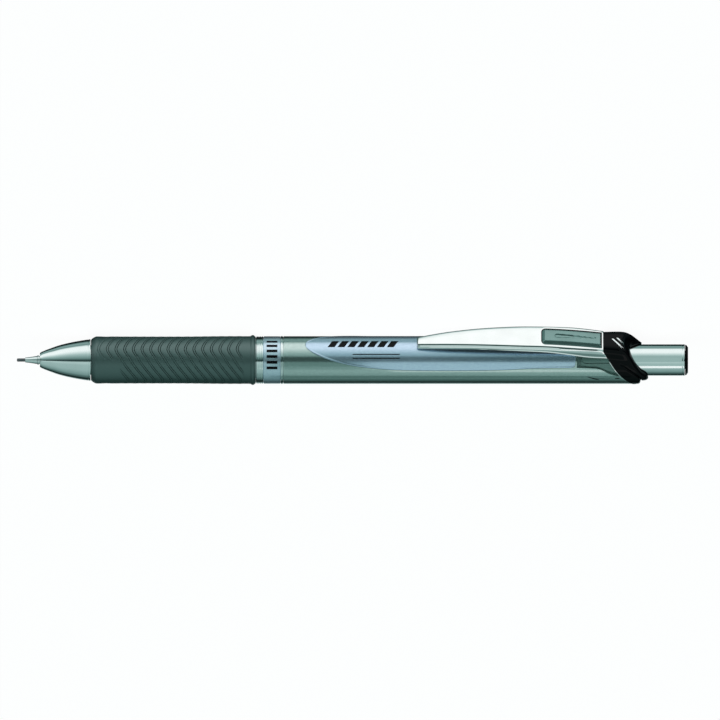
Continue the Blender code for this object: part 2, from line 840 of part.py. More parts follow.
def window_mesh(name):
    """The opening in the clip's face, as a cutter."""
    rings = []
    for station in rounded_stations(WINDOW_FRONT, WINDOW_BACK, WINDOW_CORNER, 1):
        half = rounded_half(station, WINDOW_FRONT, WINDOW_BACK, WINDOW_HALF_WIDTH, WINDOW_CORNER)
        low = CLIP_TONGUE_TOP
        high = CLIP_SHAPE[4][1] + BEYOND
        corners = ((-half, low), (half, low), (half, high), (-half, high))
        rings.append([Vector((station, y, z)) * MM for y, z in corners])
    return closed_mesh(name, rings, capped=True)


def build_clip(material):
    """The sprung pocket clip, with its tongue, the bump at its tip and the window."""
    rows = 14
    front = CLIP_SHAPE[0][0]
    back = CLIP_SHAPE[-1][0]
    stations = [front + (back - front) * (row / rows) for row in range(rows + 1)]
    rings = [clip_section(station) for station in stations]
    pivot = (CLIP_PIVOT, 0.0, CLIP_PIVOT_HEIGHT)
    clip = add_part("clip", closed_mesh("clip", rings, capped=True), material, pivot)
    tip_half = CLIP_SHAPE[0][2] - CLIP_SHEET / 2.0
    tip_bottom = CLIP_SHAPE[0][1] - CLIP_SHAPE[0][3] + 0.05
    heel_half = CLIP_SHAPE[-1][2] - CLIP_SHEET / 2.0
    heel_top = CLIP_SHAPE[-1][1] - CLIP_SHEET / 2.0
    tip = box_mesh(
        "clip_tip",
        (front + 0.03, -tip_half, tip_bottom),
        (front + CLIP_SHEET, tip_half, CLIP_SHAPE[0][1] - CLIP_SHEET / 2.0),
    )
    boolean(clip, add_cutter("clip_tip", tip), "UNION")
    heel = box_mesh(
        "clip_heel",
        (back - CLIP_HEEL, -heel_half, CLIP_TONGUE_BOTTOM - 0.15),
        (back - 0.03, heel_half, heel_top),
    )
    boolean(clip, add_cutter("clip_heel", heel), "UNION")
    tongue = box_mesh(
        "clip_tongue",
        (back - CLIP_HEEL / 2.0, -CLIP_TONGUE_HALF_WIDTH, CLIP_TONGUE_BOTTOM),
        (CLIP_TONGUE_BACK, CLIP_TONGUE_HALF_WIDTH, CLIP_TONGUE_TOP),
    )
    boolean(clip, add_cutter("clip_tongue", tongue), "UNION")
    boolean(clip, add_cutter("clip_bump", bump_mesh("clip_bump")), "UNION")
    boolean(clip, add_cutter("clip_window", window_mesh("clip_window")), "DIFFERENCE")


def bump_mesh(name):
    """The round bump under the clip's tip, which holds the cloth of a pocket."""
    shape = bmesh.new()
    bmesh.ops.create_uvsphere(shape, u_segments=12, v_segments=8, radius=CLIP_BUMP_R * MM)
    middle = Vector((CLIP_BUMP, 0.0, CLIP_BUMP_HEIGHT)) * MM
    bmesh.ops.translate(shape, vec=middle, verts=shape.verts)
    mesh = bpy.data.meshes.new(name)
    shape.to_mesh(mesh)
    shape.free()
    return mesh


def build_window_insert(material):
    """The glossy insert that stands a little proud of the window in the clip."""
    front = WINDOW_FRONT + INSERT_GAP
    back = WINDOW_BACK - INSERT_GAP
    width = WINDOW_HALF_WIDTH - INSERT_GAP
    corner = WINDOW_CORNER - INSERT_GAP
    rings = []
    for station in rounded_stations(front, back, corner, 6):
        face = eased(CLIP_SHAPE, station)[0]
        half = rounded_half(station, front, back, width, corner)
        near_end = min(station - front, back - station)
        lift = min(near_end / INSERT_BEVEL, 1.0)
        rise = INSERT_SHOULDER + (INSERT_RISE - INSERT_SHOULDER) * lift
        bevel = min(INSERT_BEVEL, half * 0.6)
        right = [(half, face - INSERT_SKIRT), (half, face + INSERT_SHOULDER), (half - bevel, face + rise)]
        left = [(-y, z) for y, z in reversed(right)]
        rings.append([Vector((station, y, z)) * MM for y, z in right + left])
    mesh = closed_mesh("window_insert", rings, capped=True)
    add_part("window_insert", mesh, material, (CLIP_PIVOT, 0.0, CLIP_PIVOT_HEIGHT))


def lie_down(frame):
    """Turn the pencil so that its barrel and the long edge of its clip rest on the ground."""
    height, half, _ = eased(CLIP_SHAPE, CLIP_WIDEST)
    across = half - CLIP_CORNER
    up = height - CLIP_CORNER
    lean = math.asin((GRIP_RIDGE_R - CLIP_CORNER) / math.hypot(across, up)) - math.atan2(across, up)
    along = Vector((-1.0, 0.0, 0.0))
    side = Vector((0.0, math.sin(lean), -math.cos(lean)))
    clip_way = Vector((0.0, -math.cos(lean), -math.sin(lean)))
    turn = Matrix((along, side, clip_way)).transposed()
    frame.rotation_euler = turn.to_euler()


def centre_on_ground(frame):
    """Move the pencil so that the bottom centre of its bounding box is the world's origin."""
    bpy.context.view_layer.update()
    graph = bpy.context.evaluated_depsgraph_get()
    low = Vector((math.inf,) * 3)
    high = Vector((-math.inf,) * 3)
    for part in PARTS.objects:
        seen = part.evaluated_get(graph)
        mesh = seen.to_mesh()
        for vertex in mesh.vertices:
            place = part.matrix_world @ vertex.co
            low = Vector(map(min, low, place))
            high = Vector(map(max, high, place))
        seen.to_mesh_clear()
    frame.location = Vector((-(low.x + high.x) / 2.0, -(low.y + high.y) / 2.0, -low.z))


def build_all():
    """Make every piece, then set the assembly down."""
    chrome = make_material("chrome", (0.78, 0.80, 0.80), 0.12, 1.0)
    brass = make_material("brass", (0.72, 0.55, 0.26), 0.30, 1.0)
    steel = make_material("spring_steel", (0.55, 0.56, 0.57), 0.30, 1.0)
    graphite = make_material("graphite", (0.06, 0.06, 0.07), 0.45)
    seal = make_material("seal_rubber", (0.05, 0.05, 0.05), 0.8)
    rubber = make_material("grip_rubber", (0.07, 0.11, 0.11), 0.55)
    core = make_material("core_plastic", (0.30, 0.32, 0.33), 0.5)
    paint = make_material("barrel_paint", (0.28, 0.36, 0.35), 0.3, 0.7)
    band = make_material("band_paint", (0.42, 0.52, 0.60), 0.25, 0.8)
    panel = make_material("panel_paint", (0.45, 0.57, 0.66), 0.3, 0.7)
    holder = make_material("holder_plastic", (0.14, 0.20, 0.19), 0.35)
    polished = make_material("clip_metal", (0.88, 0.89, 0.89), 0.15, 1.0)
    gloss = make_material("insert_plastic", (0.30, 0.40, 0.39), 0.12)
    black = make_material("collar_plastic", (0.012, 0.012, 0.014), 0.15)
    clear = make_material("tube_plastic", (0.75, 0.76, 0.76), 0.4)
    white = make_material("eraser_vinyl", (0.86, 0.86, 0.84), 0.7)

    build_lead(graphite)
    build_spare_leads(graphite)
    build_tip_sleeve(chrome)
    build_lead_retainer(seal)
    build_nose_cone(chrome)
    build_chuck_ring(brass)
    build_chuck_jaws(brass)
    build_chuck_body(brass)
    build_clutch_sleeve(brass)
    build_chuck_spring(steel)
    build_chuck_connector(core)
    build_reservoir_tube(clear)
    build_eraser_ferrule(steel)
    build_eraser(white)
    build_push_button(chrome)
    build_button_end(black)
    build_front_barrel(core)
    build_rubber_grip(rubber)
    build_rings(chrome, band)
    build_rear_barrel(paint)
    build_accent_panel(panel)
    build_clip_holder(holder)
    build_rear_collar(black)
    build_clip(polished)
    build_window_insert(gloss)

    frame = bpy.data.objects.new("pencil_frame", None)
    bpy.context.scene.collection.objects.link(frame)
    lie_down(frame)
    for item in list(PARTS.objects) + list(CUTTERS.objects):
        item.parent = frame
    centre_on_ground(frame)


clear_scene()
PARTS = make_collection("lead_holder")
CUTTERS = make_collection("cutters")
build_all()
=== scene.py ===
"""Looks for a push-button pencil: grooved rubber grip, metallic barrel, inlaid panel and clip.

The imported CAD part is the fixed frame.  Each piece that shows is made again here with its
fine surface, in the pencil's own coordinates: a station runs in millimetres from the point
of the lead (0) to the end of the push button, a radius is measured from the axis, and an
angle is measured round the axis from the clip's side.
"""

import json
import math

import bmesh
import bpy
from mathutils import Matrix, Vector


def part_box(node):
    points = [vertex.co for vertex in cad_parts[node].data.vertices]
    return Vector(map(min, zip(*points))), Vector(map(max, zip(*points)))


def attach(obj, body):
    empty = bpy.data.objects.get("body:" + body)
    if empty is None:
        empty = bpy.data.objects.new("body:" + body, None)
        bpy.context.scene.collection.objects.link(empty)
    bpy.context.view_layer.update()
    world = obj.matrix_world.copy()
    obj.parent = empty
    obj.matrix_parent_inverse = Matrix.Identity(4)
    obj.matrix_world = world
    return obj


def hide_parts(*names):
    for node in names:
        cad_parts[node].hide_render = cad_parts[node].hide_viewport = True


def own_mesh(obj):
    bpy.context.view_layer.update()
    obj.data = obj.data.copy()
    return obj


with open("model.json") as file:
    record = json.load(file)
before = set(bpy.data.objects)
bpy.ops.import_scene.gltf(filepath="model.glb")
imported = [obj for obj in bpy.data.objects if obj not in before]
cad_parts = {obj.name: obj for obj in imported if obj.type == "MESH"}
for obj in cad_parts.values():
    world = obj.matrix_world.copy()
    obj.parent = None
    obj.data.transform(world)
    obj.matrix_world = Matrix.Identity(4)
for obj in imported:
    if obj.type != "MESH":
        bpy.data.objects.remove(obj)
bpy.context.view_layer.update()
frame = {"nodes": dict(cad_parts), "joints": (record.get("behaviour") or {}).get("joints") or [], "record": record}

MM = 0.001
STEPS = 144             # steps round the large pieces
SMALL_STEPS = 72        # steps round the small ones
SOFT = 0.06             # usual rounding of an edge
SOFT_STEPS = 3          # steps along such a rounding
SHARP_DEGREES = 30.0    # a sharper edge than this shades crisp
BEVEL_DEGREES = 40.0    # a sharper edge than this is bevelled after a cut
BEVEL = 0.025           # width of that bevel

RECORD = frame["record"]
BODY_OF = {node: body for body, nodes in RECORD["behaviour"]["bodies"].items() for node in nodes}
SLOT_OF = {part["node"]: part["material_slot"] for part in RECORD["subparts"]}

# Shank behind the nose cone, with its thread
SHANK_R = 3.15
THREAD_FRONT = 16.4
THREAD_BACK = 20.9
THREAD_PITCH = 0.5
THREAD_DEPTH = 0.12

# Grip: where its grooves have their vertices, how far each trails back round the grip from
# the angle of its vertex, and the depth of its two fine lines and the swell behind them
GRIP_FRONT = 15.77
GRIP_BACK = 50.9
GRIP_RIDGE_R = 5.33
GRIP_BORE_R = 3.95
GROOVE_FIRST = 17.4
GROOVE_PITCH = 1.845
GROOVE_COUNT = 17
GROOVE_VERTEX = -13.0
GROOVE_TRAIL = (
    (0.0, 0.0), (8.0, 0.20), (27.0, 1.27), (46.0, 2.34), (72.0, 3.85), (92.0, 4.45),
    (112.0, 3.55), (130.0, 2.20), (153.0, 0.88), (172.0, 0.14), (180.0, 0.0),
)
GROOVE_SECTION = (
    (-0.32, 0.0), (-0.28, 0.03), (-0.22, 0.21), (-0.16, 0.03), (-0.12, 0.0), (0.0, -0.01),
    (0.12, 0.0), (0.16, 0.03), (0.22, 0.21), (0.28, 0.03), (0.32, 0.0), (0.45, -0.015),
    (0.70, -0.03), (0.92, -0.035), (1.15, -0.03), (1.40, -0.015),
)

# Rings between the grip and the barrel
RING_BORE_R = 4.15
BAND_R = 5.05

# Barrel with its oblique tail
BARREL_FRONT = 56.8
BARREL_R = 5.07
BARREL_BORE_R = 4.40
TAIL_STATION = 129.05
TAIL_SLOPE = 0.767
TAIL_RING = 0.14        # how far the barrel stops short, for the bright ring on its tail

# Two moulded slits near the tail: name, first and last station, angle at each (degrees)
SLITS = (
    ("front_slit", 121.4, 124.4, -85.0, -98.0),
    ("rear_slit", 127.3, 128.6, -91.0, -91.0),
)
SLIT_CUT = (4.55, 5.4, 0.20)    # inner radius, outer radius and half width of the cut
SLIT_SHADE = (4.60, 5.02, 0.18)  # and of the black sliver in it, painted shade for the dark inside of the slit

# Half of a plate's width, as an angle, along its length
PANEL_EDGE = (
    (61.5, 5.0), (61.8, 11.0), (62.4, 17.5), (63.7, 26.5), (66.3, 39.0), (70.5, 51.6),
    (74.8, 59.4), (81.3, 65.4), (92.3, 67.0), (102.9, 65.4), (110.0, 61.0), (119.0, 59.4),
)
PANEL_BEAD = (
    (0.0, -0.05), (0.03, 0.0), (0.17, 0.045), (0.24, 0.045), (0.36, 0.0), (0.45, 0.0), (1.2, 0.0),
)
PANEL_R = 5.10
PANEL_BACK_R = 4.72
POCKET_R = 4.66
RECESS_EDGE = (
    (119.3, 59.4), (121.8, 60.5), (124.2, 63.5), (126.4, 77.0), (128.2, 83.0), (130.2, 86.0),
    (134.0, 88.0),
)
PAD_EDGE = (
    (120.15, 55.0), (122.2, 57.0), (124.2, 59.0), (126.0, 69.0), (128.0, 77.0),
)
BLOCK_EDGE = (
    (120.25, 34.0), (120.55, 43.0), (121.0, 47.0), (124.0, 47.0), (126.6, 47.0),
)

# Collar: where its rear rim ends, its groove runs, and how high it is behind the groove
COLLAR_BORE_R = 3.47
HOOD_FRONT = 125.2
COLLAR_RIM = (
    (-180.0, 134.2), (-130.0, 134.5), (-100.0, 134.2), (-78.0, 133.0), (-50.0, 131.8),
    (-20.0, 130.9), (0.0, 130.6), (12.0, 130.8), (26.0, 131.8), (40.0, 132.7), (52.0, 133.05),
    (85.0, 133.1), (125.0, 133.7), (180.0, 134.2),
)
COLLAR_GROOVE = (
    (40.0, 127.7), (46.6, 128.2), (67.5, 130.5), (94.0, 132.7), (130.0, 132.9), (180.0, 133.0),
)
COLLAR_FIN = (
    (0.0, 0.05), (45.0, 0.08), (70.0, 0.22), (95.0, 0.42), (130.0, 0.70), (180.0, 0.70),
)

# Collar: station, the hood's height and half width, and the radius on the far side
COLLAR_SHELL = (
    (125.0, 6.90, 3.10, 5.07), (129.0, 6.60, 3.40, 5.07), (130.9, 5.60, 3.50, 4.85),
    (132.1, 4.30, 3.45, 4.25), (133.1, 3.60, 3.00, 3.62),
)

# Clip: station, height of its face, half of its width, depth of its sides
CLIP_SHAPE = (
    (85.2, 6.36, 1.10, 1.10), (88.5, 6.86, 1.50, 1.15), (92.3, 7.33, 1.89, 1.20),
    (98.7, 7.80, 2.39, 1.20), (107.2, 7.94, 2.83, 1.20), (113.0, 7.79, 2.93, 1.35),
    (117.8, 7.40, 3.03, 1.72), (121.5, 6.95, 2.95, 2.12), (124.9, 6.45, 2.78, 2.15),
)
CLIP_SHEET = 0.50
CLIP_SIDE = 0.40
CLIP_NOSE = 0.45
CLIP_CROWN = 0.06
WINDOW_FRONT = 111.7
WINDOW_BACK = 124.65
WINDOW_HALF_WIDTH = 2.22
WINDOW_CORNER = 1.0
INSERT_GAP = 0.16
# inset of the black strip in the window's gap, which is painted shade
GAP_SHADE_INSET = 0.015
INSERT_CROWN = 0.05
INSERT_SECTION = (
    (0.0, -0.18), (0.04, -0.06), (0.08, 0.0), (0.58, 0.40), (0.64, 0.44), (0.70, 0.45),
    (3.0, 0.45),
)
DIMPLE_FRONT = 114.6
DIMPLE_BACK = 123.2
DIMPLE_HALF_WIDTH = 0.56
DIMPLE_DEPTH = 0.24
PIP_HEIGHT = 0.14


# ---- placing

def pencil_frame():
    """The matrix from the pencil's own axes to the world, read from the CAD frame."""
    hinge = next(joint for joint in frame["joints"] if joint["name"] == "clip_flex")
    side = Vector(hinge["axis"]).normalized()
    along = Vector((-1.0, 0.0, 0.0))
    clip_way = along.cross(side)
    low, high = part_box("name_band")
    origin = Vector((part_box("lead")[1].x, (low.y + high.y) / 2.0, (low.z + high.z) / 2.0))
    turn = Matrix((along, side, clip_way)).transposed().to_4x4()
    return Matrix.Translation(origin) @ turn


PENCIL = pencil_frame()
MATERIALS = {}          # material of each slot, by its name


def placed(name, data):
    """A new object in the scene."""
    item = bpy.data.objects.new(name, data)
    bpy.context.scene.collection.objects.link(item)
    return item


def evaluated(item):
    """The mesh of an object with its modifiers applied."""
    graph = bpy.context.evaluated_depsgraph_get()
    return bpy.data.meshes.new_from_object(item.evaluated_get(graph))


def weighted(mesh):
    """The same mesh with normals that follow its larger faces, so that long faces stay flat."""
    item = placed("weighted", mesh)
    item.modifiers.new("normals", "WEIGHTED_NORMAL").keep_sharp = True
    result = evaluated(item)
    bpy.data.objects.remove(item, do_unlink=True)
    return result


def stand_for(node, mesh):
    """Show a fine mesh in place of a CAD node, on the node's body and in its material slot."""
    piece = add_piece(f"{node}_fine", mesh, BODY_OF[node], SLOT_OF[node])
    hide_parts(node)
    return piece


def add_piece(name, mesh, body, slot):
    """Put a mesh made in pencil coordinates into place, riding on a body."""
    mesh = weighted(mesh)
    mesh.transform(PENCIL)
    mesh.materials.clear()
    mesh.materials.append(MATERIALS[slot])
    piece = placed(name, mesh)
    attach(piece, body)
    return piece


# ---- shapes

def around(station, radius, angle):
    """A point on a cylinder round the axis; the angle is measured from the clip's side."""
    return Vector((station, radius * math.sin(angle), radius * math.cos(angle))) * MM


def eased(table, station):
    """Values of a table at a station, on a smooth curve through its rows."""
    if station <= table[0][0]:
        return table[0][1:]
    if station >= table[-1][0]:
        return table[-1][1:]
    index = max(i for i, row in enumerate(table[:-1]) if row[0] <= station)
    before = table[max(index - 1, 0)]
    low = table[index]
    high = table[index + 1]
    after = table[min(index + 2, len(table) - 1)]
    span = high[0] - low[0]
    share = (station - low[0]) / span
    values = []
    for column in range(1, len(low)):
        slope_low = (high[column] - before[column]) / (high[0] - before[0]) * span
        slope_high = (after[column] - low[column]) / (after[0] - low[0]) * span
        rise = high[column] - low[column]
        values.append(
            low[column]
            + slope_low * share
            + (3.0 * rise - 2.0 * slope_low - slope_high) * share ** 2
            + (slope_low + slope_high - 2.0 * rise) * share ** 3
        )
    return tuple(values)


def ramp(value, low, high):
    """Smooth step from 0 to 1 between two values."""
    share = min(max((value - low) / (high - low), 0.0), 1.0)
    return share * share * (3.0 - 2.0 * share)


def meshed(name, shape):
    """The mesh of a bmesh, which is then freed."""
    mesh = bpy.data.meshes.new(name)
    shape.to_mesh(mesh)
    shape.free()
    return mesh


def shade(mesh):
    """Round surfaces shade smooth, and sharper edges stay crisp."""
    mesh.shade_smooth()
    mesh.set_sharp_from_angle(angle=math.radians(SHARP_DEGREES))


def skin(name, rings, capped):
    """Skin a row of rings; with caps the row has two ends, without them it closes on itself."""
    count = len(rings[0])
    points = [point for ring in rings for point in ring]
    total = len(rings)
    faces = []
    for row in range(total - 1 if capped else total):
        here = row * count
        there = ((row + 1) % total) * count
        for index in range(count):
            after = (index + 1) % count
            faces.append((here + index, here + after, there + after, there + index))
    if capped:
        faces.append(tuple(range(count)))
        faces.append(tuple(range((total - 1) * count, total * count)))
    mesh = bpy.data.meshes.new(name)
    mesh.from_pydata(points, [], faces)
    shape = bmesh.new()
    shape.from_mesh(mesh)
    bmesh.ops.remove_doubles(shape, verts=shape.verts, dist=1e-8)
    bmesh.ops.recalc_face_normals(shape, faces=shape.faces)
    shape.to_mesh(mesh)
    shape.free()
    shade(mesh)
    return mesh


def softened(outline, size):
    """An outline with its corners rounded, but for those on the axis."""
    result = []
    count = len(outline)
    for index in range(count):
        here = Vector(outline[index])
        before = Vector(outline[index - 1]) - here
        after = Vector(outline[(index + 1) % count]) - here
        if here.y == 0.0:
            result.append(tuple(here))
            continue
        start = here + before.normalized() * min(size, before.length * 0.45)
        end = here + after.normalized() * min(size, after.length * 0.45)
        for step in range(SOFT_STEPS + 1):
            share = step / SOFT_STEPS
            point = start * (1.0 - share) ** 2 + here * 2.0 * share * (1.0 - share) + end * share ** 2
            result.append(tuple(point))
    return result


def turned_with(name, outline_at, steps=STEPS):
    """A piece round the axis whose outline may change with the angle."""
    rings = []
    for step in range(steps):
        angle = 2.0 * math.pi * step / steps
        rings.append([around(station, radius, angle) for station, radius in outline_at(angle)])
    return skin(name, rings, capped=False)


def turned(name, outline, steps=STEPS, size=SOFT):
    """A turned piece with softened edges; a solid one has its ends on the axis."""
    soft = softened(outline, size)
    return turned_with(name, lambda angle: soft, steps)


def tube_outline(front, back, outer, bore):
    """Outline of a plain tube."""
    return [(front, bore), (front, outer), (back, outer), (back, bore)]


def combined(mesh, *changes):
    """A mesh after cuts and joins, each an operation and a tool mesh."""
    base = placed("base", mesh)
    tools = []
    for operation, tool in changes:
        other = placed("tool", tool)
        tools.append(other)
        change = base.modifiers.new(operation, "BOOLEAN")
        change.operation = operation
        change.solver = "EXACT"
        change.object = other
    bevel = base.modifiers.new("edges", "BEVEL")
    bevel.limit_method = "ANGLE"
    bevel.angle_limit = math.radians(BEVEL_DEGREES)
    bevel.width = BEVEL * MM
    bevel.segments = 2
    result = evaluated(base)
    for item in tools + [base]:
        bpy.data.objects.remove(item, do_unlink=True)
    shade(result)
    return result


def box_mesh(name, low, high):
    """A box between two corners, in millimetres."""
    shape = bmesh.new()
    bmesh.ops.create_cube(shape, size=1.0)
    size = [(b - a) * MM for a, b in zip(low, high)]
    middle = [(a + b) / 2.0 * MM for a, b in zip(low, high)]
    bmesh.ops.scale(shape, vec=size, verts=shape.verts)
    bmesh.ops.translate(shape, vec=middle, verts=shape.verts)
    return meshed(name, shape)


def tail_cut(radius, angle):
    """Station of the oblique tail cut at a place on a cylinder."""
    return TAIL_STATION - TAIL_SLOPE * radius * math.cos(angle)


# ---- nose

def build_nose_cone():
    """The metal nose: a smooth ogive with a fine bead at its back, and a threaded shank."""
    ogive = (
        (4.90, 1.58), (6.2, 2.13), (7.46, 2.60), (8.7, 3.04), (10.0, 3.40),
        (11.3, 3.70), (12.6, 3.96), (13.9, 4.18), (15.1, 4.36),
    )
    front, back, rows = ogive[0][0], ogive[-1][0], 28
    face = [front + (back - front) * row / rows for row in range(1, rows + 1)]
    bead = [(15.18, 4.32), (15.26, 4.32), (15.32, 4.40), (15.62, 4.42), (15.68, 4.36)]
    profile = [(4.90, 0.90), (4.90, 1.50)]
    profile += [(station, eased(ogive, station)[0]) for station in face]
    profile += bead + [(15.68, SHANK_R)]
    samples = 54
    bores = [(13.2, 2.65), (13.2, 2.40), (9.2, 2.40), (9.2, 1.55), (7.15, 1.55), (7.15, 0.90)]

    def outline_at(angle):
        thread = []
        for sample in range(samples + 1):
            station = THREAD_FRONT + (THREAD_BACK - THREAD_FRONT) * sample / samples
            phase = (station / THREAD_PITCH - angle / (2.0 * math.pi)) % 1.0
            run_in = ramp(station, THREAD_FRONT, THREAD_FRONT + 0.6)
            fade = min(run_in, ramp(THREAD_BACK - station, 0.0, 0.5))
            cut = max(0.0, 1.0 - abs(phase - 0.5) * 2.6)
            thread.append((station, SHANK_R - THREAD_DEPTH * fade * cut))
        return profile + thread + [(21.0, 3.05), (21.0, 2.65)] + bores

    stand_for("nose_cone", turned_with("nose_cone", outline_at))


# ---- grip and rings

def groove_trail(angle):
    """How far the grooves trail back at an angle, and the angle past the nearest vertex."""
    past = (GROOVE_VERTEX - math.degrees(angle)) % 180.0
    return eased(GROOVE_TRAIL, past)[0], past


def grip_radius(station):
    """Outer radius of the grip without its grooves."""
    shape = (
        (GRIP_FRONT + 0.05, 4.33),
        (GRIP_FRONT + 0.25, 4.55),
        (GRIP_FRONT + 1.0, 4.98),
        (GRIP_FRONT + 1.6, 5.03),
        (24.0, 4.98), (36.0, 4.98), (43.0, 5.05), (49.2, 5.07),
    )
    return eased(shape, station)[0]


def build_rubber_grip():
    """The grip, with wavy double grooves that run on round it and a smooth ridge at its back."""
    lead_in = [GRIP_FRONT + 0.05 + 0.08 * row for row in range(15)]
    grooves = []
    for number in range(GROOVE_COUNT):
        vertex = GROOVE_FIRST + GROOVE_PITCH * number
        for offset, depth in GROOVE_SECTION:
            grooves.append((vertex + offset, depth, number))
    ridge = [
        (49.75, 5.08), (49.88, 5.16), (50.02, 5.27), (50.25, GRIP_RIDGE_R), (50.48, 5.27),
        (50.62, 5.16), (50.75, 5.05), (50.87, 4.95), (GRIP_BACK, 4.80), (GRIP_BACK, GRIP_BORE_R),
    ]

    def outline_at(angle):
        trail, past = groove_trail(angle)
        # the grooves are fainter in two strips along the grip, and one strip lies a little lower
        fade_side = 1.0 - 0.55 * ramp(past, 76.0, 90.0) * (1.0 - ramp(past, 94.0, 125.0))
        fade_side *= 1.0 - 0.6 * ramp(past, 15.0, 26.0) * (1.0 - ramp(past, 42.0, 46.0))
        step_down = 0.05 * ramp(past, 44.0, 47.0) * (1.0 - ramp(past, 84.0, 110.0))
        points = [(GRIP_FRONT, GRIP_BORE_R), (GRIP_FRONT, 4.20)]
        points += [(station, grip_radius(station)) for station in lead_in]
        for along, depth, number in grooves:
            station = along + trail * ramp(along, 17.05, 17.3)
            # grooves that would run into the ridge crowd together in front of it
            room = 49.0 + 0.5 * (along - 46.0) / 4.0
            over = max(station - (room - 1.0), 0.0)
            station -= over - 1.0 + math.exp(-over) if over > 0.0 else 0.0
            strength = min(0.45 + 0.3 * number, 1.0) * fade_side
            strength *= 1.0 - ramp(station, 47.6, 48.7)
            front_low = ramp(past, 22.0, 34.0) * (1.0 - ramp(past, 95.0, 130.0))
            strength *= 1.0 - front_low * (1.0 - ramp(station, 21.5, 23.0))
            back_of_line = step_down * ramp(station, 22.0, 23.5) * (1.0 - ramp(station, 47.0, 48.5))
            points.append((station, grip_radius(station) - depth * strength - back_of_line))
        return points + ridge

    stand_for("rubber_grip", turned_with("rubber_grip", outline_at, 220))


def shouldered(front, back, low_front, low_back, radius):
    """Outline of a ring whose lower shoulders reach on to its neighbours."""
    step = radius - 0.13
    rise = [(low_front, RING_BORE_R), (low_front, step), (front, step), (front, radius)]
    return rise + [(back, radius), (back, step), (low_back, step), (low_back, RING_BORE_R)]


def build_rings():
    """The ridged ring, the tinted band and the thin ring between the grip and the barrel."""
    ridges = [(50.91, RING_BORE_R), (50.91, 4.76), (51.0, 4.76), (51.0, 4.86)]
    for ridge in range(4):
        start = 51.0 + 0.375 * ridge
        for offset, radius in ((0.04, 4.90), (0.09, 5.01), (0.19, 5.06), (0.29, 5.01), (0.34, 4.90)):
            ridges.append((start + offset, radius))
    ridges += [(52.5, 4.86), (52.5, RING_BORE_R)]
    stand_for("center_ring", turned_with("center_ring", lambda angle: ridges))
    stand_for("name_band", turned("name_band", shouldered(52.6, 56.1, 52.51, 56.19, BAND_R)))
    stand_for("rear_ring", turned("rear_ring", shouldered(56.2, 56.65, 56.2, 56.79, 5.09), STEPS, 0.1))


# ---- barrel and panel

def spaced(front, back, rows, near):
    """Stations from front to back, closer together at both ends."""
    inside = [front + near[-1] + (back - front - 2.0 * near[-1]) * row / rows for row in range(1, rows)]
    return [front + step for step in near] + inside + [back - step for step in reversed(near)]


def plate(name, edge, bottom, top_at, rows, cut_at=None, grow=0.0, corner=0.0):
    """A plate bent round the axis.

    top_at gives its radius from the distance to its border.  With cut_at its back end
    follows the tail cut, that far short of it.
    """
    near = (0.0, 0.05, 0.11, 0.18, 0.26, 0.35, 0.45)
    columns = 28
    front = edge[0][0] - grow
    back = edge[-1][0] + grow
    rings = []
    for station in spaced(front, back, rows, near):
        wide = math.radians(eased(edge, station)[0]) * PANEL_R + grow
        if corner > 0.0:
            inset = max(corner - (back - station), 0.0)
            wide -= corner - math.sqrt(max(corner ** 2 - inset ** 2, 0.0))
        shrink = min(1.0, 0.9 * wide / near[-1])
        sides = [step * shrink for step in near]
        flat = wide - sides[-1]
        across = [-wide + step for step in sides]
        across += [-flat + 2.0 * flat * column / columns for column in range(1, columns)]
        across += [wide - step for step in reversed(sides)]
        ends = min(station - front, back - station)
        if cut_at is not None:
            ends = station - front
        share = (station - front) / (back - front)
        ring = []
        for arc, top in [(arc, True) for arc in across] + [(arc, False) for arc in reversed(across)]:
            angle = arc / PANEL_R
            radius = top_at(min(wide - abs(arc), ends)) if top else bottom
            place = station
            if cut_at is not None:
                place += (tail_cut(radius, angle) - cut_at - back) * share
            ring.append(around(place, radius, angle))
        rings.append(ring)
    return skin(name, rings, capped=True)


def panel_top(distance):
    """The panel's face, with a fine raised bead along its border."""
    return PANEL_R + eased(PANEL_BEAD, distance)[0]


def slit_mesh(name, front, back, start, end, inner, outer, widest):
    """A fine tapered sliver in the barrel's wall, from one angle to another."""
    thinnest = 0.02
    rings = []
    rows = 16
    for row in range(rows + 1):
        share = row / rows
        station = front + (back - front) * share
        middle = math.radians(start + (end - start) * share)
        half = (thinnest + (widest - thinnest) * math.sin(math.pi * share)) / BARREL_R
        corners = ((inner, -half), (inner, half), (outer, half), (outer, -half))
        rings.append([around(station, radius, middle + side) for radius, side in corners])
    return skin(name, rings, capped=True)


def build_rear_barrel():
    """The metallic barrel, with the panel's pocket, the holder's recess and an oblique tail."""

    def outline_at(angle):
        tail = tail_cut(BARREL_R, angle) - TAIL_RING
        return [
            (BARREL_FRONT, BARREL_BORE_R),
            (BARREL_FRONT, BARREL_R - 0.10),
            (BARREL_FRONT + 0.03, BARREL_R - 0.03),
            (BARREL_FRONT + 0.10, BARREL_R),
            (tail - 0.10, BARREL_R),
            (tail - 0.03, BARREL_R - 0.02),
            (tail_cut(BARREL_R - 0.06, angle) - TAIL_RING, BARREL_R - 0.08),
            (tail_cut(BARREL_BORE_R, angle) - TAIL_RING, BARREL_BORE_R),
        ]

    outside = BARREL_R + 2.0
    pocket = plate("pocket", PANEL_EDGE, POCKET_R, lambda distance: outside, 60, grow=0.04, corner=0.9)
    recess = plate("recess", RECESS_EDGE, BARREL_BORE_R - 0.6, lambda distance: outside, 40)
    cuts = [pocket, recess] + [slit_mesh(*row, *SLIT_CUT) for row in SLITS]
    barrel = turned_with("barrel", outline_at)
    stand_for("rear_barrel", combined(barrel, *[("DIFFERENCE", cut) for cut in cuts]))
    # a black sliver in each slit is painted shade for the slit's dark inside
    for row in SLITS:
        add_piece(row[0], slit_mesh(*row, *SLIT_SHADE), "barrel", "collar_plastic")


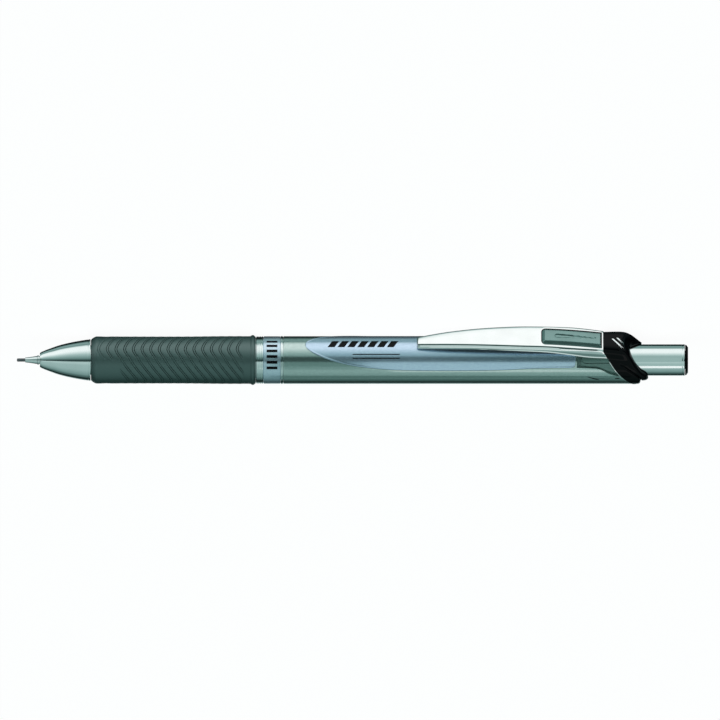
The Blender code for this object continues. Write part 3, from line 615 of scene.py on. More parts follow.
def build_tail_ring():
    """The thin bright ring that is held between the barrel's tail and the collar."""

    def outline_at(angle):
        outer = BARREL_R + 0.08
        return [
            (tail_cut(4.42, angle) - 0.12, 4.42),
            (tail_cut(outer - 0.06, angle) - 0.12, outer - 0.06),
            (tail_cut(outer, angle) - 0.07, outer),
            (tail_cut(outer, angle) + 0.05, outer),
            (tail_cut(outer - 0.06, angle) + 0.10, outer - 0.06),
            (tail_cut(4.42, angle) + 0.10, 4.42),
        ]

    add_piece("tail_ring", turned_with("tail_ring", outline_at), "barrel", "clip_metal")


def build_accent_panel():
    """The tinted panel let into the barrel under the clip."""
    stand_for("accent_panel", plate("accent_panel", PANEL_EDGE, PANEL_BACK_R, panel_top, 90, corner=0.9))


def build_clip_holder():
    """The sleeve in the tail, with the raised pad and block that fill the barrel's recess."""

    def outline_at(angle):
        return [
            (118.0, 4.00),
            (118.0, 4.35),
            (tail_cut(4.35, angle) - 0.2, 4.35),
            (tail_cut(4.00, angle) - 0.2, 4.00),
        ]

    def pad_top(distance):
        return 4.75 - 0.10 * (1.0 - ramp(distance, 0.0, 0.18))

    def block_top(distance):
        return 5.02 - 0.10 * (1.0 - ramp(distance, 0.0, 0.22))

    pad = plate("pad", PAD_EDGE, 4.18, pad_top, 36, cut_at=TAIL_RING + 0.01)
    moat = plate("moat", BLOCK_EDGE, 4.42, lambda distance: 5.4, 24, cut_at=-0.2, grow=0.19)
    block = plate("block", BLOCK_EDGE, 4.22, block_top, 24, cut_at=TAIL_RING + 0.02)
    sleeve = turned_with("holder", outline_at)
    stand_for("clip_holder", combined(sleeve, ("UNION", pad), ("DIFFERENCE", moat), ("UNION", block)))


# ---- collar

def degrees_from_clip(angle):
    """Angle in degrees, from -180 to 180; it is positive on the far side."""
    degrees = math.degrees(angle) % 360.0
    return degrees - 360.0 if degrees > 180.0 else degrees


def collar_shell(angle, station):
    """Radius of the collar before its fins: round, with a hood on the clip's side."""
    top, half, far_radius = eased(COLLAR_SHELL, station)
    roundness = 5.0
    front = max(math.cos(angle), 0.05)
    box = (front / top) ** roundness + (abs(math.sin(angle)) / half) ** roundness
    hood = box ** (-1.0 / roundness) if math.cos(angle) > 0.0 else 0.0
    degrees = degrees_from_clip(angle)
    far = ramp(degrees, 5.0, 30.0) * (1.0 - ramp(degrees, 100.0, 135.0))
    body = BARREL_R + (far_radius - BARREL_R) * far
    sharpness = 14.0
    return (hood ** sharpness + body ** sharpness) ** (1.0 / sharpness)


def collar_radius(angle, station):
    """Outer radius of the collar, with its two stepped fins and the rounding of its rim."""
    degrees = degrees_from_clip(angle)
    side = abs(degrees)
    shell = collar_shell(angle, station)
    rim = eased(COLLAR_RIM, degrees)[0]
    end = COLLAR_BORE_R + 0.30
    rounding = 2.4
    turn = min(max((station - rim + rounding) / rounding, 0.0), 1.0)
    radius = end + max(shell - end, 0.0) * (1.0 - turn ** 2.4) ** 0.55
    groove = eased(COLLAR_GROOVE, side)[0]
    fins = ramp(side, 78.0, 98.0) if degrees > 0.0 else ramp(side, 44.0, 62.0)
    behind = ramp(station, groove - 0.10, groove + 0.15)
    low = shell - eased(COLLAR_FIN, side)[0]
    back_share = min(max((station - groove) / max(rim - groove, 0.3), 0.0), 1.0)
    fin = end + (low - end) * (1.0 - back_share ** 3.0) ** 0.5
    full = shell * (1.0 - ramp(station, groove - 0.55, groove + 0.1) * 0.06)
    finned = full * (1.0 - behind) + fin * behind
    finned -= math.exp(-((station - groove - 0.02) / 0.13) ** 2) * (0.16 + 0.28 * ramp(side, 60.0, 125.0))
    return radius * (1.0 - fins) + finned * fins


def build_rear_collar():
    """The gloss black collar: a hood over the clip's root, two stepped fins, a swept rim."""
    spigot = 3.92

    def face(radius, angle):
        return max(tail_cut(radius, angle) + 0.12, HOOD_FRONT - 0.12)

    def outline_at(angle):
        outer = collar_shell(angle, HOOD_FRONT)
        start = face(outer, angle)
        rim = eased(COLLAR_RIM, degrees_from_clip(angle))[0]
        points = [
            (122.0, COLLAR_BORE_R),
            (122.0, spigot - 0.06),
            (122.06, spigot),
            (face(spigot, angle), spigot),
            (start, outer - 0.12),
            (start + 0.02, outer - 0.04),
        ]
        rows = 40
        for row in range(rows + 1):
            share = 1.0 - (1.0 - row / rows) ** 1.25
            station = start + 0.10 + (rim - start - 0.10) * share
            points.append((station, collar_radius(angle, station)))
        points.append((rim + 0.02, COLLAR_BORE_R + 0.16))
        points.append((rim - 0.06, COLLAR_BORE_R + 0.03))
        points.append((rim - 0.16, COLLAR_BORE_R))
        return points

    slot = box_mesh("slot", (123.0, -1.8, 4.95), (129.3, 1.8, 6.15))
    stand_for("rear_collar", combined(turned_with("collar", outline_at, 180), ("DIFFERENCE", slot)))


# ---- clip

def clip_section(station):
    """Section of the clip: a crowned face, narrow facets beside it, sloped sides, flared lips."""
    front = CLIP_SHAPE[0][0]
    back = CLIP_SHAPE[-1][0]
    height, half, depth = eased(CLIP_SHAPE, station)
    near = min(station - front, CLIP_NOSE)
    inset = CLIP_NOSE - math.sqrt(max(CLIP_NOSE ** 2 - (CLIP_NOSE - near) ** 2, 0.0))
    half -= inset
    height -= inset
    depth -= inset * 1.4
    deep = depth - 0.72
    flare = 0.17 * ramp(station, 95.0, 110.0)
    outer = [
        (half + 0.12 + flare, height - depth),
        (half + 0.23 + flare, height - depth + 0.02),
        (half + 0.26 + flare, height - depth + 0.06),
        (half + 0.25 + flare, height - depth + 0.10),
        (half + 0.265, height - depth + 0.13),
        (half + 0.27, height - depth + 0.22),
        (half + 0.25, height - 0.66 - deep * 0.4),
        (half + 0.23, height - 0.58 - deep * 0.2),
        (half + 0.03, height - 0.24),
        (half - 0.21, height - 0.05),
        (half - 0.25, height - 0.02),
        (half - 0.32, height),
    ]
    flat = half - 0.32
    face = [(flat * share, height + CLIP_CROWN * (1.0 - share ** 2)) for share in (0.8, 0.6, 0.4, 0.2)]
    inside = half - CLIP_SIDE
    hollow = min(ramp(station, front + 0.5, front + 1.1), 1.0 - ramp(station, back - 1.0, back - 0.7))
    roof = height - depth + 0.04 + (depth - 0.04 - CLIP_SHEET) * hollow
    soft = min(0.10, roof - (height - depth) - 0.02)
    inner = [(inside * 0.5, roof), (inside - 0.12, roof), (inside, roof - soft)]
    inner += [(inside, height - depth + 0.02), (inside + 0.06, height - depth)]
    right = outer + face
    left = [(-y, z) for y, z in reversed(right)]
    under = [(-y, z) for y, z in reversed(inner)]
    section = right + [(0.0, height + CLIP_CROWN)] + left + under + inner
    sweep = ramp(station, back - 2.2, back)
    points = []
    for y, z in section:
        drop = max(height - 0.35 - z, 0.0)
        points.append(Vector((station + 0.50 * drop * sweep, y, z)) * MM)
    return points


def rounded_half(station, front, back, half, corner, back_corner):
    """Half width of a rectangle at a station, with rounded corners."""
    result = half
    for inset, radius in ((front + corner - station, corner), (station - back + back_corner, back_corner)):
        inset = min(max(inset, 0.0), radius)
        result -= radius - math.sqrt(radius ** 2 - inset ** 2)
    return result


def rounded_stations(front, back, corner, back_corner, rows):
    """Stations along a rounded rectangle, closer together round its corners."""
    start = [front + corner * (1.0 - math.cos(math.radians(turn))) for turn in range(0, 91, 10)]
    end = [back - back_corner * (1.0 - math.cos(math.radians(turn))) for turn in range(90, -1, -15)]
    middle = [start[-1] + (end[0] - start[-1]) * row / rows for row in range(1, rows)]
    return start + middle + end


def slab_ring(station, half, low, high):
    """A rectangle across the clip at a station, as a ring."""
    corners = ((-half, low), (half, low), (half, high), (-half, high))
    return [Vector((station, y, z)) * MM for y, z in corners]


def window_mesh():
    """The opening in the clip's face, as a cutter."""
    rings = []
    for station in rounded_stations(WINDOW_FRONT, WINDOW_BACK, WINDOW_CORNER, 0.15, 2):
        half = rounded_half(station, WINDOW_FRONT, WINDOW_BACK, WINDOW_HALF_WIDTH, WINDOW_CORNER, 0.15)
        rings.append(slab_ring(station, half, 5.9, 9.9))
    return skin("window", rings, capped=True)


def bump_mesh():
    """The round bump under the clip's tip."""
    shape = bmesh.new()
    bmesh.ops.create_uvsphere(shape, u_segments=40, v_segments=24, radius=0.80 * MM)
    bmesh.ops.translate(shape, vec=Vector((89.0, 0.0, 6.02)) * MM, verts=shape.verts)
    return meshed("bump", shape)


def build_clip():
    """The sprung pocket clip, with its window and its tongue under the collar."""
    front = CLIP_SHAPE[0][0]
    back = CLIP_SHAPE[-1][0]
    nose = [front + CLIP_NOSE * (1.0 - math.cos(math.radians(turn))) for turn in range(0, 91, 10)]
    rows = 96
    stations = nose + [nose[-1] + (back - nose[-1]) * row / rows for row in range(1, rows + 1)]
    mesh = skin("clip", [clip_section(station) for station in stations], capped=True)
    tongue = box_mesh("tongue", (back - 0.5, -1.5, 5.25), (129.0, 1.5, 5.85))
    clip = combined(mesh, ("UNION", tongue), ("UNION", bump_mesh()), ("DIFFERENCE", window_mesh()))
    stand_for("clip", clip)


def build_clip_shade_sheet():
    """A dull dark sheet under the clip's face: painted shade, so that the panel under the clip reflects dark."""
    front = CLIP_SHAPE[0][0] + 1.4
    back = CLIP_SHAPE[-1][0] - 1.2
    rings = []
    rows = 70
    for row in range(rows + 1):
        station = front + (back - front) * row / rows
        height, half = eased(CLIP_SHAPE, station)[:2]
        top = height - CLIP_SHEET - 0.02
        rings.append(slab_ring(station, half - (CLIP_SIDE + 0.14), top - 0.10, top))
    # painted shade: a dark sheet where the clip's hollow is only in shade
    add_piece("clip_shade_sheet", skin("clip_shade", rings, capped=True), BODY_OF["clip"], "seal_rubber")


def insert_height(station, across, border):
    """Height of the insert's top: a bevelled plateau with a teardrop dimple and a pip behind it."""
    height = eased(CLIP_SHAPE, station)[0]
    height += eased(INSERT_SECTION, border)[0]
    height += INSERT_CROWN * (1.0 - (across / WINDOW_HALF_WIDTH) ** 2)
    round_end = DIMPLE_FRONT + DIMPLE_HALF_WIDTH
    if DIMPLE_FRONT < station < DIMPLE_BACK:
        if station < round_end:
            wide = math.sqrt(DIMPLE_HALF_WIDTH ** 2 - (round_end - station) ** 2)
        else:
            wide = DIMPLE_HALF_WIDTH * (1.0 - (station - round_end) / (DIMPLE_BACK - round_end)) ** 0.8
        height -= DIMPLE_DEPTH * (1.0 - ramp(abs(across), wide * 0.45, wide + 0.03)) * min(1.0, wide / 0.25)
    pip = (station - DIMPLE_BACK) ** 2 + across ** 2
    return height + PIP_HEIGHT * math.exp(-pip / 0.02)


def build_window_insert():
    """The glossy insert that stands a little proud of the window in the clip."""
    front = WINDOW_FRONT + INSERT_GAP
    back = WINDOW_BACK - INSERT_GAP
    corner = WINDOW_CORNER - INSERT_GAP
    width = WINDOW_HALF_WIDTH - INSERT_GAP
    columns = 56
    rings = []
    stations = [front + 0.02 * row ** 1.5 for row in range(14)]
    stations += [stations[-1] + (back - 0.4 - stations[-1]) * row / 150 for row in range(1, 151)]
    stations += [back - 0.25, back - 0.12, back - 0.05, back]
    for station in stations:
        half = max(rounded_half(station, front, back, width, corner, 0.12), 0.3)
        top = []
        for column in range(columns + 1):
            share = 1.0 - 2.0 * column / columns
            across = half * math.copysign(1.0 - (1.0 - abs(share)) ** 1.15, share)
            border = min(half - abs(across), station - front, (back - station) * 3.0)
            top.append((across, insert_height(station, across, border)))
        bottom = eased(CLIP_SHAPE, station)[0] - 0.65
        section = [(half, bottom)] + top + [(-half, bottom)]
        rings.append([Vector((station, y, z)) * MM for y, z in section])
    stand_for("window_insert", skin("insert", rings, capped=True))


def build_window_gap_shade():
    """A black strip that fills the gap between the insert and its window: painted shade for the dark gap."""
    front = WINDOW_FRONT + GAP_SHADE_INSET
    back = WINDOW_BACK - GAP_SHADE_INSET
    corner = WINDOW_CORNER - GAP_SHADE_INSET
    width = WINDOW_HALF_WIDTH - GAP_SHADE_INSET
    rings = []
    for station in rounded_stations(front, back, corner, 0.14, 24):
        half = rounded_half(station, front, back, width, corner, 0.14)
        height = eased(CLIP_SHAPE, station)[0]
        rings.append(slab_ring(station, half, height - 0.62, height - 0.16))
    gap_shade = skin("gap_shade", rings, capped=True)
    add_piece("window_gap_shade", gap_shade, BODY_OF["window_insert"], "collar_plastic")


# ---- turned pieces and chuck

def build_turned_pieces():
    """The plain turned pieces: those that show, and those that show once the pencil is open."""
    fine = (
        ("tip_sleeve", SMALL_STEPS, 0.05, (
            (1.77, 0.40), (1.77, 0.52), (2.6, 0.60), (4.30, 0.86), (4.40, 0.98), (4.69, 0.98),
            (4.69, 0.85), (7.0, 0.85), (7.0, 0.40),
        )),
        ("push_button", STEPS, 0.04, (
            (124.6, 2.42), (124.6, 3.33), (141.75, 3.33), (141.80, 3.30), (141.86, 3.30),
            (141.92, 3.34), (142.22, 3.34), (142.30, 3.24), (142.30, 2.00), (139.0, 2.00),
            (138.5, 2.42),
        )),
        ("button_end", STEPS, 0.05, (
            (139.0, 0.0), (139.0, 1.95), (142.36, 1.95), (142.36, 3.25), (142.62, 3.21),
            (142.98, 2.72), (143.0, 2.60), (142.97, 2.45), (142.97, 0.0),
        )),
    )
    for node, steps, size, outline in fine:
        stand_for(node, turned(node, outline, steps, size))
    plain = {
        "lead": ((0.0, 0.0), (0.0, 0.22), (0.14, 0.35), (60.0, 0.35), (60.0, 0.0)),
        "eraser": ((128.3, 0.0), (128.3, 2.0), (135.6, 2.0), (136.0, 1.6), (136.0, 0.0)),
        "eraser_ferrule": (
            (121.5, 1.5), (121.5, 1.85), (127.2, 1.85), (127.2, 2.35), (128.6, 2.35), (128.7, 2.27),
            (128.9, 2.27), (129.0, 2.35), (129.4, 2.35), (129.5, 2.27), (129.7, 2.27), (129.8, 2.35),
            (131.0, 2.35), (131.0, 2.05), (128.2, 2.05), (128.2, 0.3), (127.2, 0.3), (126.6, 1.5),
        ),
        "reservoir_tube": tube_outline(32.1, 127.0, 2.35, 1.90),
        "chuck_ring": ((15.0, 2.03), (15.0, 2.55), (17.0, 2.55), (17.0, 1.80)),
        "clutch_sleeve": (
            (17.3, 2.0), (17.3, 2.55), (21.3, 2.55), (21.3, 3.0), (22.3, 3.0), (22.3, 1.35),
            (21.3, 1.35), (21.3, 2.0),
        ),
        "chuck_body": tube_outline(20.3, 34.0, 1.25, 0.50),
        "front_barrel": (
            (15.9, 3.20), (15.9, 3.90), (51.2, 3.90), (51.2, 4.10), (62.0, 4.10), (62.0, 3.05),
            (21.2, 3.05), (21.2, 3.20),
        ),
    }
    for node, outline in plain.items():
        stand_for(node, turned(node, outline, SMALL_STEPS))


def build_chuck_jaws():
    """Three fingers round the lead, with rounded heads and a grooved bite."""
    rows = (
        (14.0, 1.72), (14.06, 1.84), (14.2, 1.93), (14.4, 1.95), (14.9, 1.95), (15.6, 1.89),
        (16.4, 1.76), (16.7, 1.68), (17.0, 1.34), (17.2, 1.21), (17.4, 1.20), (20.0, 1.20),
    )
    sector = 2.0 * math.pi / 3.0
    for number in (1, 2, 3):
        middle = sector * (number - 1)
        rings = []
        for station, outer in rows:
            ring = []
            for radius, steps in ((outer, range(-12, 13)), (0.40, range(12, -13, -1))):
                reach = sector / 2.0 - 0.12 / radius
                ring += [around(station, radius, middle + reach * step / 12.0) for step in steps]
            rings.append(ring)
        stand_for(f"chuck_jaw_{number}", skin("jaw", rings, capped=True))


def build_chuck_spring():
    """The return spring, a coil of wire given a mesh of its own."""
    turns = 8
    count = turns * 36
    start = 22.75
    length = 7.8
    coil = 2.0
    wire = 0.15
    sides = 12
    rings = []
    for index in range(count + 1):
        share = index / count
        climb = share - 0.35 / turns * math.sin(2.0 * math.pi * share)
        turn = 2.0 * math.pi * turns * share
        centre = around(start + length * climb, coil, turn)
        outward = (around(0.0, 1.0, turn) / MM).normalized()
        along = Vector((1.0, 0.0, 0.0))
        ring = []
        for side in range(sides):
            angle = 2.0 * math.pi * side / sides
            ring.append(centre + (outward * math.cos(angle) + along * math.sin(angle)) * wire * MM)
        rings.append(ring)
    spring = stand_for("chuck_spring", skin("spring", rings, capped=True))
    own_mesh(spring)


# ---- printed marks

def marks_mesh(name, bars, radius_at):
    """Thin printed bars on a round surface: front, back, first and last angle, slant."""
    shape = bmesh.new()
    thickness = 0.012
    steps = 8
    for front, back, first, last, slant in bars:
        layers = []
        for height in (-thickness, thickness):
            row = []
            for step in range(steps + 1):
                share = step / steps
                angle = math.radians(first + (last - first) * share)
                ends = [end + slant * share for end in (front, back)]
                row.append([around(end, radius_at(angle, end) + height, angle) for end in ends])
            layers.append([[shape.verts.new(point) for point in pair] for pair in row])
        lower, upper = layers
        for step in range(steps):
            low, low_next, high, high_next = lower[step], lower[step + 1], upper[step], upper[step + 1]
            shape.faces.new((high[0], high[1], high_next[1], high_next[0]))
            shape.faces.new((low[0], low_next[0], low_next[1], low[1]))
            for end in (0, 1):
                shape.faces.new((low[end], high[end], high_next[end], low_next[end]))
        for step in (0, steps):
            shape.faces.new((lower[step][0], lower[step][1], upper[step][1], upper[step][0]))
    bmesh.ops.recalc_face_normals(shape, faces=shape.faces)
    return meshed(name, shape)


def build_marks():
    """Plain bars where a maker would print: on the panel, the band and the collar."""
    stripes = [(67.2 + 2.1 * number, 68.7 + 2.1 * number, 12.0, -7.5, -1.0) for number in range(7)]
    stripes += [(71.5, 81.6, -25.0, -27.5, 0.0), (71.5, 81.6, -34.5, -37.0, 0.0)]
    rungs = [(53.2, 55.5, 14.0 - 14.0 * number, 7.0 - 14.0 * number, 0.0) for number in range(6)]
    ticks = [(126.7, 127.1, 1.5, -18.0, 2.1), (127.7, 128.1, 4.0, -8.0, 1.3)]
    for name, bars, radius_at, slot in (
        ("panel_marks", stripes, lambda angle, end: PANEL_R, "collar_plastic"),
        ("band_marks", rungs, lambda angle, end: BAND_R, "collar_plastic"),
        ("collar_marks", ticks, collar_radius, "chrome"),
    ):
        add_piece(name, marks_mesh(name, bars, radius_at), "barrel", slot)


# ---- materials

MIDDLE = (0.3, 0.7)             # range in which most of a noise lies
LATHE = (1.0, 0.02, 0.02)       # stretch that gives lines round the pencil
DRAWN = (0.02, 1.0, 1.0)        # and along it


def grown(tree, kind, **inputs):
    """A new shader node; each input, named by its socket, takes a value or another's output."""
    node = tree.nodes.new(f"ShaderNode{kind}")
    for key, value in inputs.items():
        socket = node.inputs[key.replace("_", " ")]
        if isinstance(value, bpy.types.NodeSocket):
            tree.links.new(value, socket)
        else:
            socket.default_value = value
    return node


def mapped(tree, value, source, target):
    """A socket mapped from one range to another."""
    ranges = {"From_Min": source[0], "From_Max": source[1], "To_Min": target[0], "To_Max": target[1]}
    return grown(tree, "MapRange", Value=value, **ranges).outputs["Result"]


class Look:
    """A Principled material whose detail comes from nodes, in the piece's own coordinates.

    Further sockets come as keywords, such as coat_weight for Coat Weight.
    """

    def __init__(self, name, colour, roughness, metallic=0.0, **sockets):
        MATERIALS[name] = bpy.data.materials.new(name)
        MATERIALS[name].use_nodes = True
        self.nodes = MATERIALS[name].node_tree.nodes
        self.links = MATERIALS[name].node_tree.links
        self.colour = colour
        self.inputs = self.nodes["Principled BSDF"].inputs
        self.inputs["Base Color"].default_value = (*colour, 1.0)
        self.inputs["Roughness"].default_value = roughness
        self.inputs["Metallic"].default_value = metallic
        for key, value in sockets.items():
            self.inputs[key.replace("_", " ").title().replace("Ior", "IOR")].default_value = value
        self.place = self.nodes.new("ShaderNodeTexCoord").outputs["Object"]

    def noise(self, size, stretch=(1.0, 1.0, 1.0)):
        """Noise whose features are about the given size in millimetres, unless stretched."""
        place = grown(self, "Mapping", Vector=self.place, Scale=stretch).outputs["Vector"]
        return grown(self, "TexNoise", Vector=place, Scale=1.0 / (size * MM), Detail=3.0).outputs["Fac"]

    def flakes(self, size):
        """A random value for each small cell, as of metal flakes in paint."""
        cells = grown(self, "TexVoronoi", Vector=self.place, Scale=1.0 / (size * MM))
        return grown(self, "SeparateColor", Color=cells.outputs["Color"]).outputs["Red"]

    def vary_colour(self, factor, dark, light):
        """Base colour between two shades of itself, over the middle part of a factor."""
        mix = self.nodes.new("ShaderNodeMix")
        mix.data_type = "RGBA"
        mix.inputs[6].default_value = (*[value * dark for value in self.colour], 1.0)
        mix.inputs[7].default_value = (*[min(value * light, 1.0) for value in self.colour], 1.0)
        self.links.new(mapped(self, factor, MIDDLE, (0.0, 1.0)), mix.inputs[0])
        self.links.new(mix.outputs[2], self.inputs["Base Color"])

    def vary_roughness(self, factor, low, high):
        """Roughness between two values, over the middle part of a factor."""
        self.links.new(mapped(self, factor, MIDDLE, (low, high)), self.inputs["Roughness"])

    def bump(self, height, depth):
        """Fine relief, its depth in millimetres."""
        relief = grown(self, "Bump", Strength=1.0, Distance=depth * MM, Height=height)
        self.links.new(relief.outputs["Normal"], self.inputs["Normal"])


def metal(name, colour, gloss, shades, lines, metallic=1.0):
    """Metal with fine lines.

    gloss and shades are the size of their patches and the range of the roughness or of the
    shade; lines are their direction and depth.
    """
    look = Look(name, colour, gloss[1], metallic)
    look.vary_roughness(look.noise(gloss[0]), *gloss[1:])
    look.vary_colour(look.noise(shades[0]), *shades[1:])
    look.bump(look.noise(0.05, lines[0]), lines[1])


def metallic_paint(name, colour, roughness, metallic):
    """Metallic paint under a clear coat."""
    look = Look(name, colour, roughness, metallic, coat_weight=0.8, coat_roughness=0.10)
    look.vary_colour(look.flakes(0.08), 0.90, 1.10)
    look.vary_roughness(look.noise(0.25), roughness - 0.03, roughness + 0.04)
    look.bump(look.noise(0.10), 0.0007)


def moulded(name, colour, low, high, grain=0.15, relief=0.001, **sockets):
    """Moulded plastic or rubber with a fine grain."""
    look = Look(name, colour, low, **sockets)
    look.vary_colour(look.noise(2.5), 0.92, 1.08)
    look.vary_roughness(look.noise(grain * 3.0), low, high)
    look.bump(look.noise(grain), relief)


def make_materials():
    """One material for each slot of the record."""
    polish = (3.0, 0.96, 1.02)
    soft = {"subsurface_weight": 0.4, "subsurface_scale": 0.0006}
    softer = {"subsurface_weight": 0.3, "subsurface_scale": 0.0008}
    teal = (0.74, 1.0, 0.97, 1.0)
    metal("chrome", (0.84, 0.90, 0.89), (0.9, 0.05, 0.09), polish, (LATHE, 0.0006))
    metal("clip_metal", (0.95, 0.96, 0.95), (0.9, 0.05, 0.08), polish, (LATHE, 0.0002))
    metal("brass", (0.74, 0.55, 0.27), (0.4, 0.18, 0.36), (1.2, 0.82, 1.08), (LATHE, 0.002))
    metal("spring_steel", (0.56, 0.57, 0.58), (0.3, 0.2, 0.38), (0.8, 0.85, 1.1), (DRAWN, 0.0015))
    metal("graphite", (0.16, 0.17, 0.18), (0.2, 0.22, 0.40), (0.15, 0.80, 1.15), (DRAWN, 0.003), 0.8)
    metallic_paint("barrel_paint", (0.55, 0.67, 0.64), 0.19, 0.95)
    metallic_paint("panel_paint", (0.62, 0.77, 0.98), 0.23, 0.78)
    metallic_paint("band_paint", (0.68, 0.82, 0.98), 0.22, 0.75)
    moulded("grip_rubber", (0.020, 0.038, 0.036), 0.38, 0.46, 0.08, 0.003, ior=2.4, specular_tint=teal)
    moulded("holder_plastic", (0.19, 0.30, 0.27), 0.20, 0.30)
    moulded("collar_plastic", (0.002, 0.002, 0.003), 0.05, 0.10, 0.3, 0.0006, specular_ior_level=0.12)
    moulded("insert_plastic", (0.23, 0.36, 0.34), 0.08, 0.13, 0.3, 0.0005, metallic=0.7)
    moulded("seal_rubber", (0.03, 0.03, 0.03), 0.6, 0.8, 0.1, 0.004)
    moulded("core_plastic", (0.16, 0.17, 0.175), 0.35, 0.5)
    moulded("tube_plastic", (0.62, 0.64, 0.64), 0.28, 0.4, 0.2, 0.001, **soft)
    moulded("eraser_vinyl", (0.80, 0.80, 0.77), 0.55, 0.75, 0.12, 0.006, **softer)


# ---- studio

# Half of the floor's width in metres, and how far the cards stand from the pencil in millimetres
FLOOR_SIZE = 1.5
CARD_DISTANCE = 30.0

# Camera: degrees round from the clip, metres across the picture, station at its middle, and how
# far it stands off in metres
CAMERA_TURN = 40.0
CAMERA_WIDTH = 0.1534
CAMERA_STATION = 73.1
CAMERA_DISTANCE = 0.5

# Brightness of the studio by elevation in degrees: 0 is level towards the clip's side, 90 is
# overhead, 180 is level on the far side, and the lower half stands for bounce cards.
STUDIO = (
    (-180.0, 0.40), (-167.0, 0.32), (-158.0, 0.02), (-117.0, 0.01), (-108.0, 0.14),
    (-99.0, 0.36), (-92.0, 0.40), (-84.0, 0.27), (-78.0, 0.32), (-71.0, 0.84), (-64.0, 1.04),
    (-40.0, 1.04), (-30.0, 0.88), (-15.0, 0.58), (0.0, 0.38), (9.0, 0.28), (15.0, 0.17),
    (20.0, 0.06), (28.0, 0.05), (31.0, 0.54), (36.0, 0.62), (50.0, 0.50), (80.0, 0.47),
    (92.0, 0.42), (105.0, 0.35), (113.0, 0.32), (121.0, 0.24), (130.0, 0.14), (137.0, 0.14),
    (144.0, 0.03), (166.0, 0.02), (180.0, 0.40),
)

# Cards over one stretch of the pencil: name, elevation, spread, stations, brightness
CARDS = (
    ("button_low_card", 17.0, 34.0, 131.0, 144.0, 0.48),
    ("button_high_card", 71.0, 17.0, 131.0, 144.0, 1.0),
    ("barrel_dark_card", 16.0, 23.0, 54.0, 130.9, 0.06),
    ("barrel_low_card", 39.0, 22.0, 54.0, 74.0, 0.27),
    ("barrel_middle_card", 57.0, 13.0, 54.0, 74.0, 0.36),
    ("barrel_edge_card", 103.0, 13.0, 54.0, 130.9, 0.19),
    ("panel_card", 46.0, 36.0, 75.0, 121.0, 0.60),
    ("clip_side_card", 70.0, 9.0, 80.0, 130.9, 0.85),
)


def glowing(name, mesh, grey, colour, strength):
    """A glowing piece of the studio that doesn't light or shade the pencil's matt surfaces."""
    material = bpy.data.materials.new(name)
    material.use_nodes = True
    shader = material.node_tree.nodes["Principled BSDF"]
    shader.inputs["Base Color"].default_value = (grey, grey, grey, 1.0)
    shader.inputs["Roughness"].default_value = 0.9
    shader.inputs["Specular IOR Level"].default_value = 0.0
    shader.inputs["Emission Color"].default_value = colour
    shader.inputs["Emission Strength"].default_value = strength
    mesh.materials.append(material)
    item = placed(name, mesh)
    item.visible_diffuse = False
    item.visible_shadow = False
    return item


def build_floor():
    """A plain pale table that glows softly, so that it stays clean round the pencil."""
    shape = bmesh.new()
    bmesh.ops.create_grid(shape, x_segments=1, y_segments=1, size=FLOOR_SIZE)
    floor = glowing("floor", meshed("floor", shape), 0.14, (1.0, 1.0, 1.0, 1.0), 0.95)
    floor.visible_glossy = False


def studio_colour(value):
    """The darker bands are a little green-blue, the brightest ones are white."""
    white = min(value, 1.0)
    return (value * (0.48 + 0.48 * white), value, value * (0.94 + 0.06 * white), 1.0)


def build_card(name, elevation, spread, front, back, brightness):
    """A glowing card parallel to the pencil; only glossy surfaces see it."""
    half = CARD_DISTANCE * math.tan(math.radians(spread / 2.0)) * MM
    axis = PENCIL.to_translation()
    way = Vector((0.0, -math.cos(math.radians(elevation)), math.sin(math.radians(elevation))))
    across = Vector((0.0, way.z, -way.y))
    ends = [(PENCIL @ (Vector((station, 0.0, 0.0)) * MM)).x for station in (front, back)]
    shape = bmesh.new()
    corners = []
    for place, side in ((ends[0], -half), (ends[1], -half), (ends[1], half), (ends[0], half)):
        spot = Vector((place, axis.y, axis.z)) + way * CARD_DISTANCE * MM + across * side
        corners.append(shape.verts.new(spot))
    shape.faces.new(corners)
    card = glowing(name, meshed(name, shape), 0.0, studio_colour(brightness), 1.0)
    card.visible_camera = False


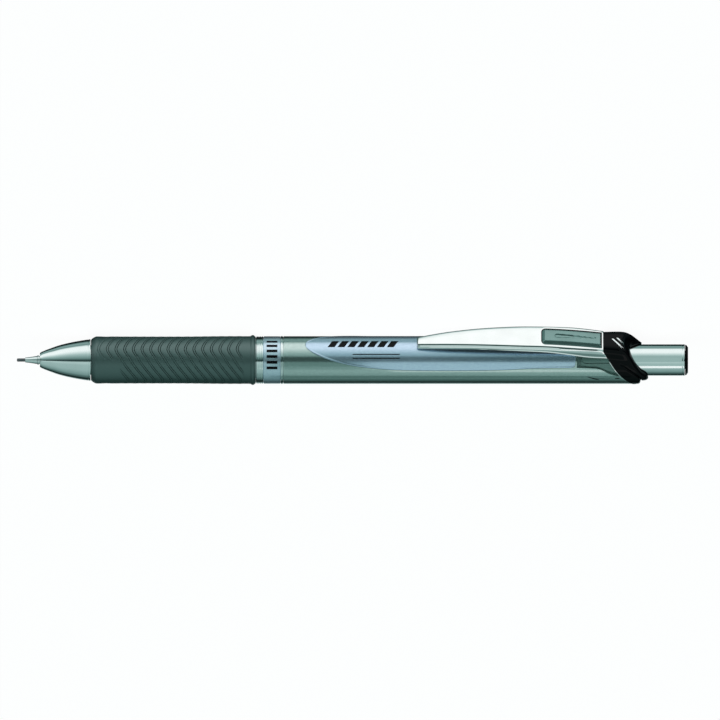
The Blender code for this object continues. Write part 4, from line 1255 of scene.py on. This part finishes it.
def build_studio():
    """Long soft boxes parallel to the pencil, drawn as bands in the world."""
    world = bpy.data.worlds.new("studio")
    bpy.context.scene.world = world
    world.use_nodes = True
    tree = world.node_tree
    nodes = tree.nodes
    links = tree.links

    def maths(operation, *sources):
        """The result of a maths node over other sockets."""
        node = nodes.new("ShaderNodeMath")
        node.operation = operation
        for source, socket in zip(sources, node.inputs):
            links.new(source, socket)
        return node.outputs[0]

    way = nodes.new("ShaderNodeTexCoord").outputs["Generated"]
    split = grown(tree, "SeparateXYZ", Vector=way).outputs
    level = mapped(tree, split["Y"], (-1.0, 1.0), (1.0, -1.0))
    turn = mapped(tree, maths("ARCTAN2", split["Z"], level), (-math.pi, math.pi), (0.0, 1.0))
    bands = grown(tree, "ValToRGB", Fac=turn)
    bands.color_ramp.interpolation = "LINEAR"
    stops = bands.color_ramp.elements
    stops.remove(stops[1])
    stops[0].color = studio_colour(STUDIO[0][1])
    for elevation, value in STUDIO[1:]:
        stops.new((elevation + 180.0) / 360.0).color = studio_colour(value)
    seen = nodes.new("ShaderNodeLightPath").outputs["Is Camera Ray"]
    backdrop = nodes.new("ShaderNodeMix")
    backdrop.data_type = "RGBA"
    backdrop.inputs[7].default_value = (0.97, 0.97, 0.97, 1.0)
    links.new(seen, backdrop.inputs[0])
    links.new(bands.outputs["Color"], backdrop.inputs[6])
    links.new(backdrop.outputs[2], nodes["Background"].inputs["Color"])
    ends = mapped(tree, maths("ABSOLUTE", split["X"]), (0.80, 0.98), (1.0, 0.15))
    links.new(maths("MAXIMUM", ends, seen), nodes["Background"].inputs["Strength"])


def build_camera():
    """A camera square to the pencil, a turn round from its clip, with the clip upwards."""
    clip_way = (PENCIL.to_3x3() @ Vector((0.0, 0.0, 1.0))).normalized()
    side = (PENCIL.to_3x3() @ Vector((0.0, 1.0, 0.0))).normalized()
    turn = math.radians(CAMERA_TURN)
    back = clip_way * math.cos(turn) - side * math.sin(turn)
    up = clip_way * math.sin(turn) + side * math.cos(turn)
    right = up.cross(back)
    camera = placed("camera", bpy.data.cameras.new("camera"))
    camera.data.type = "ORTHO"
    camera.data.ortho_scale = CAMERA_WIDTH
    camera.data.clip_start = 0.01
    camera.data.clip_end = 10.0
    camera.rotation_mode = "QUATERNION"
    camera.rotation_quaternion = Matrix((right, up, back)).transposed().to_quaternion()
    camera.location = PENCIL @ (Vector((CAMERA_STATION, 0.0, 0.0)) * MM) + back * CAMERA_DISTANCE
    bpy.context.scene.camera = camera
    bpy.context.scene.view_settings.view_transform = "Standard"


# ---- everything

make_materials()
for node, item in frame["nodes"].items():
    item.data.materials.clear()
    item.data.materials.append(MATERIALS[SLOT_OF[node]])

build_nose_cone()
build_rubber_grip()
build_rings()
build_rear_barrel()
build_tail_ring()
build_accent_panel()
build_clip_holder()
build_rear_collar()
build_clip()
build_clip_shade_sheet()
build_window_insert()
build_window_gap_shade()
build_turned_pieces()
build_chuck_jaws()
build_chuck_spring()
build_marks()
build_floor()
for name, elevation, spread, front, back, brightness in CARDS:
    build_card(name, elevation, spread, front, back, brightness)
build_studio()
build_camera()
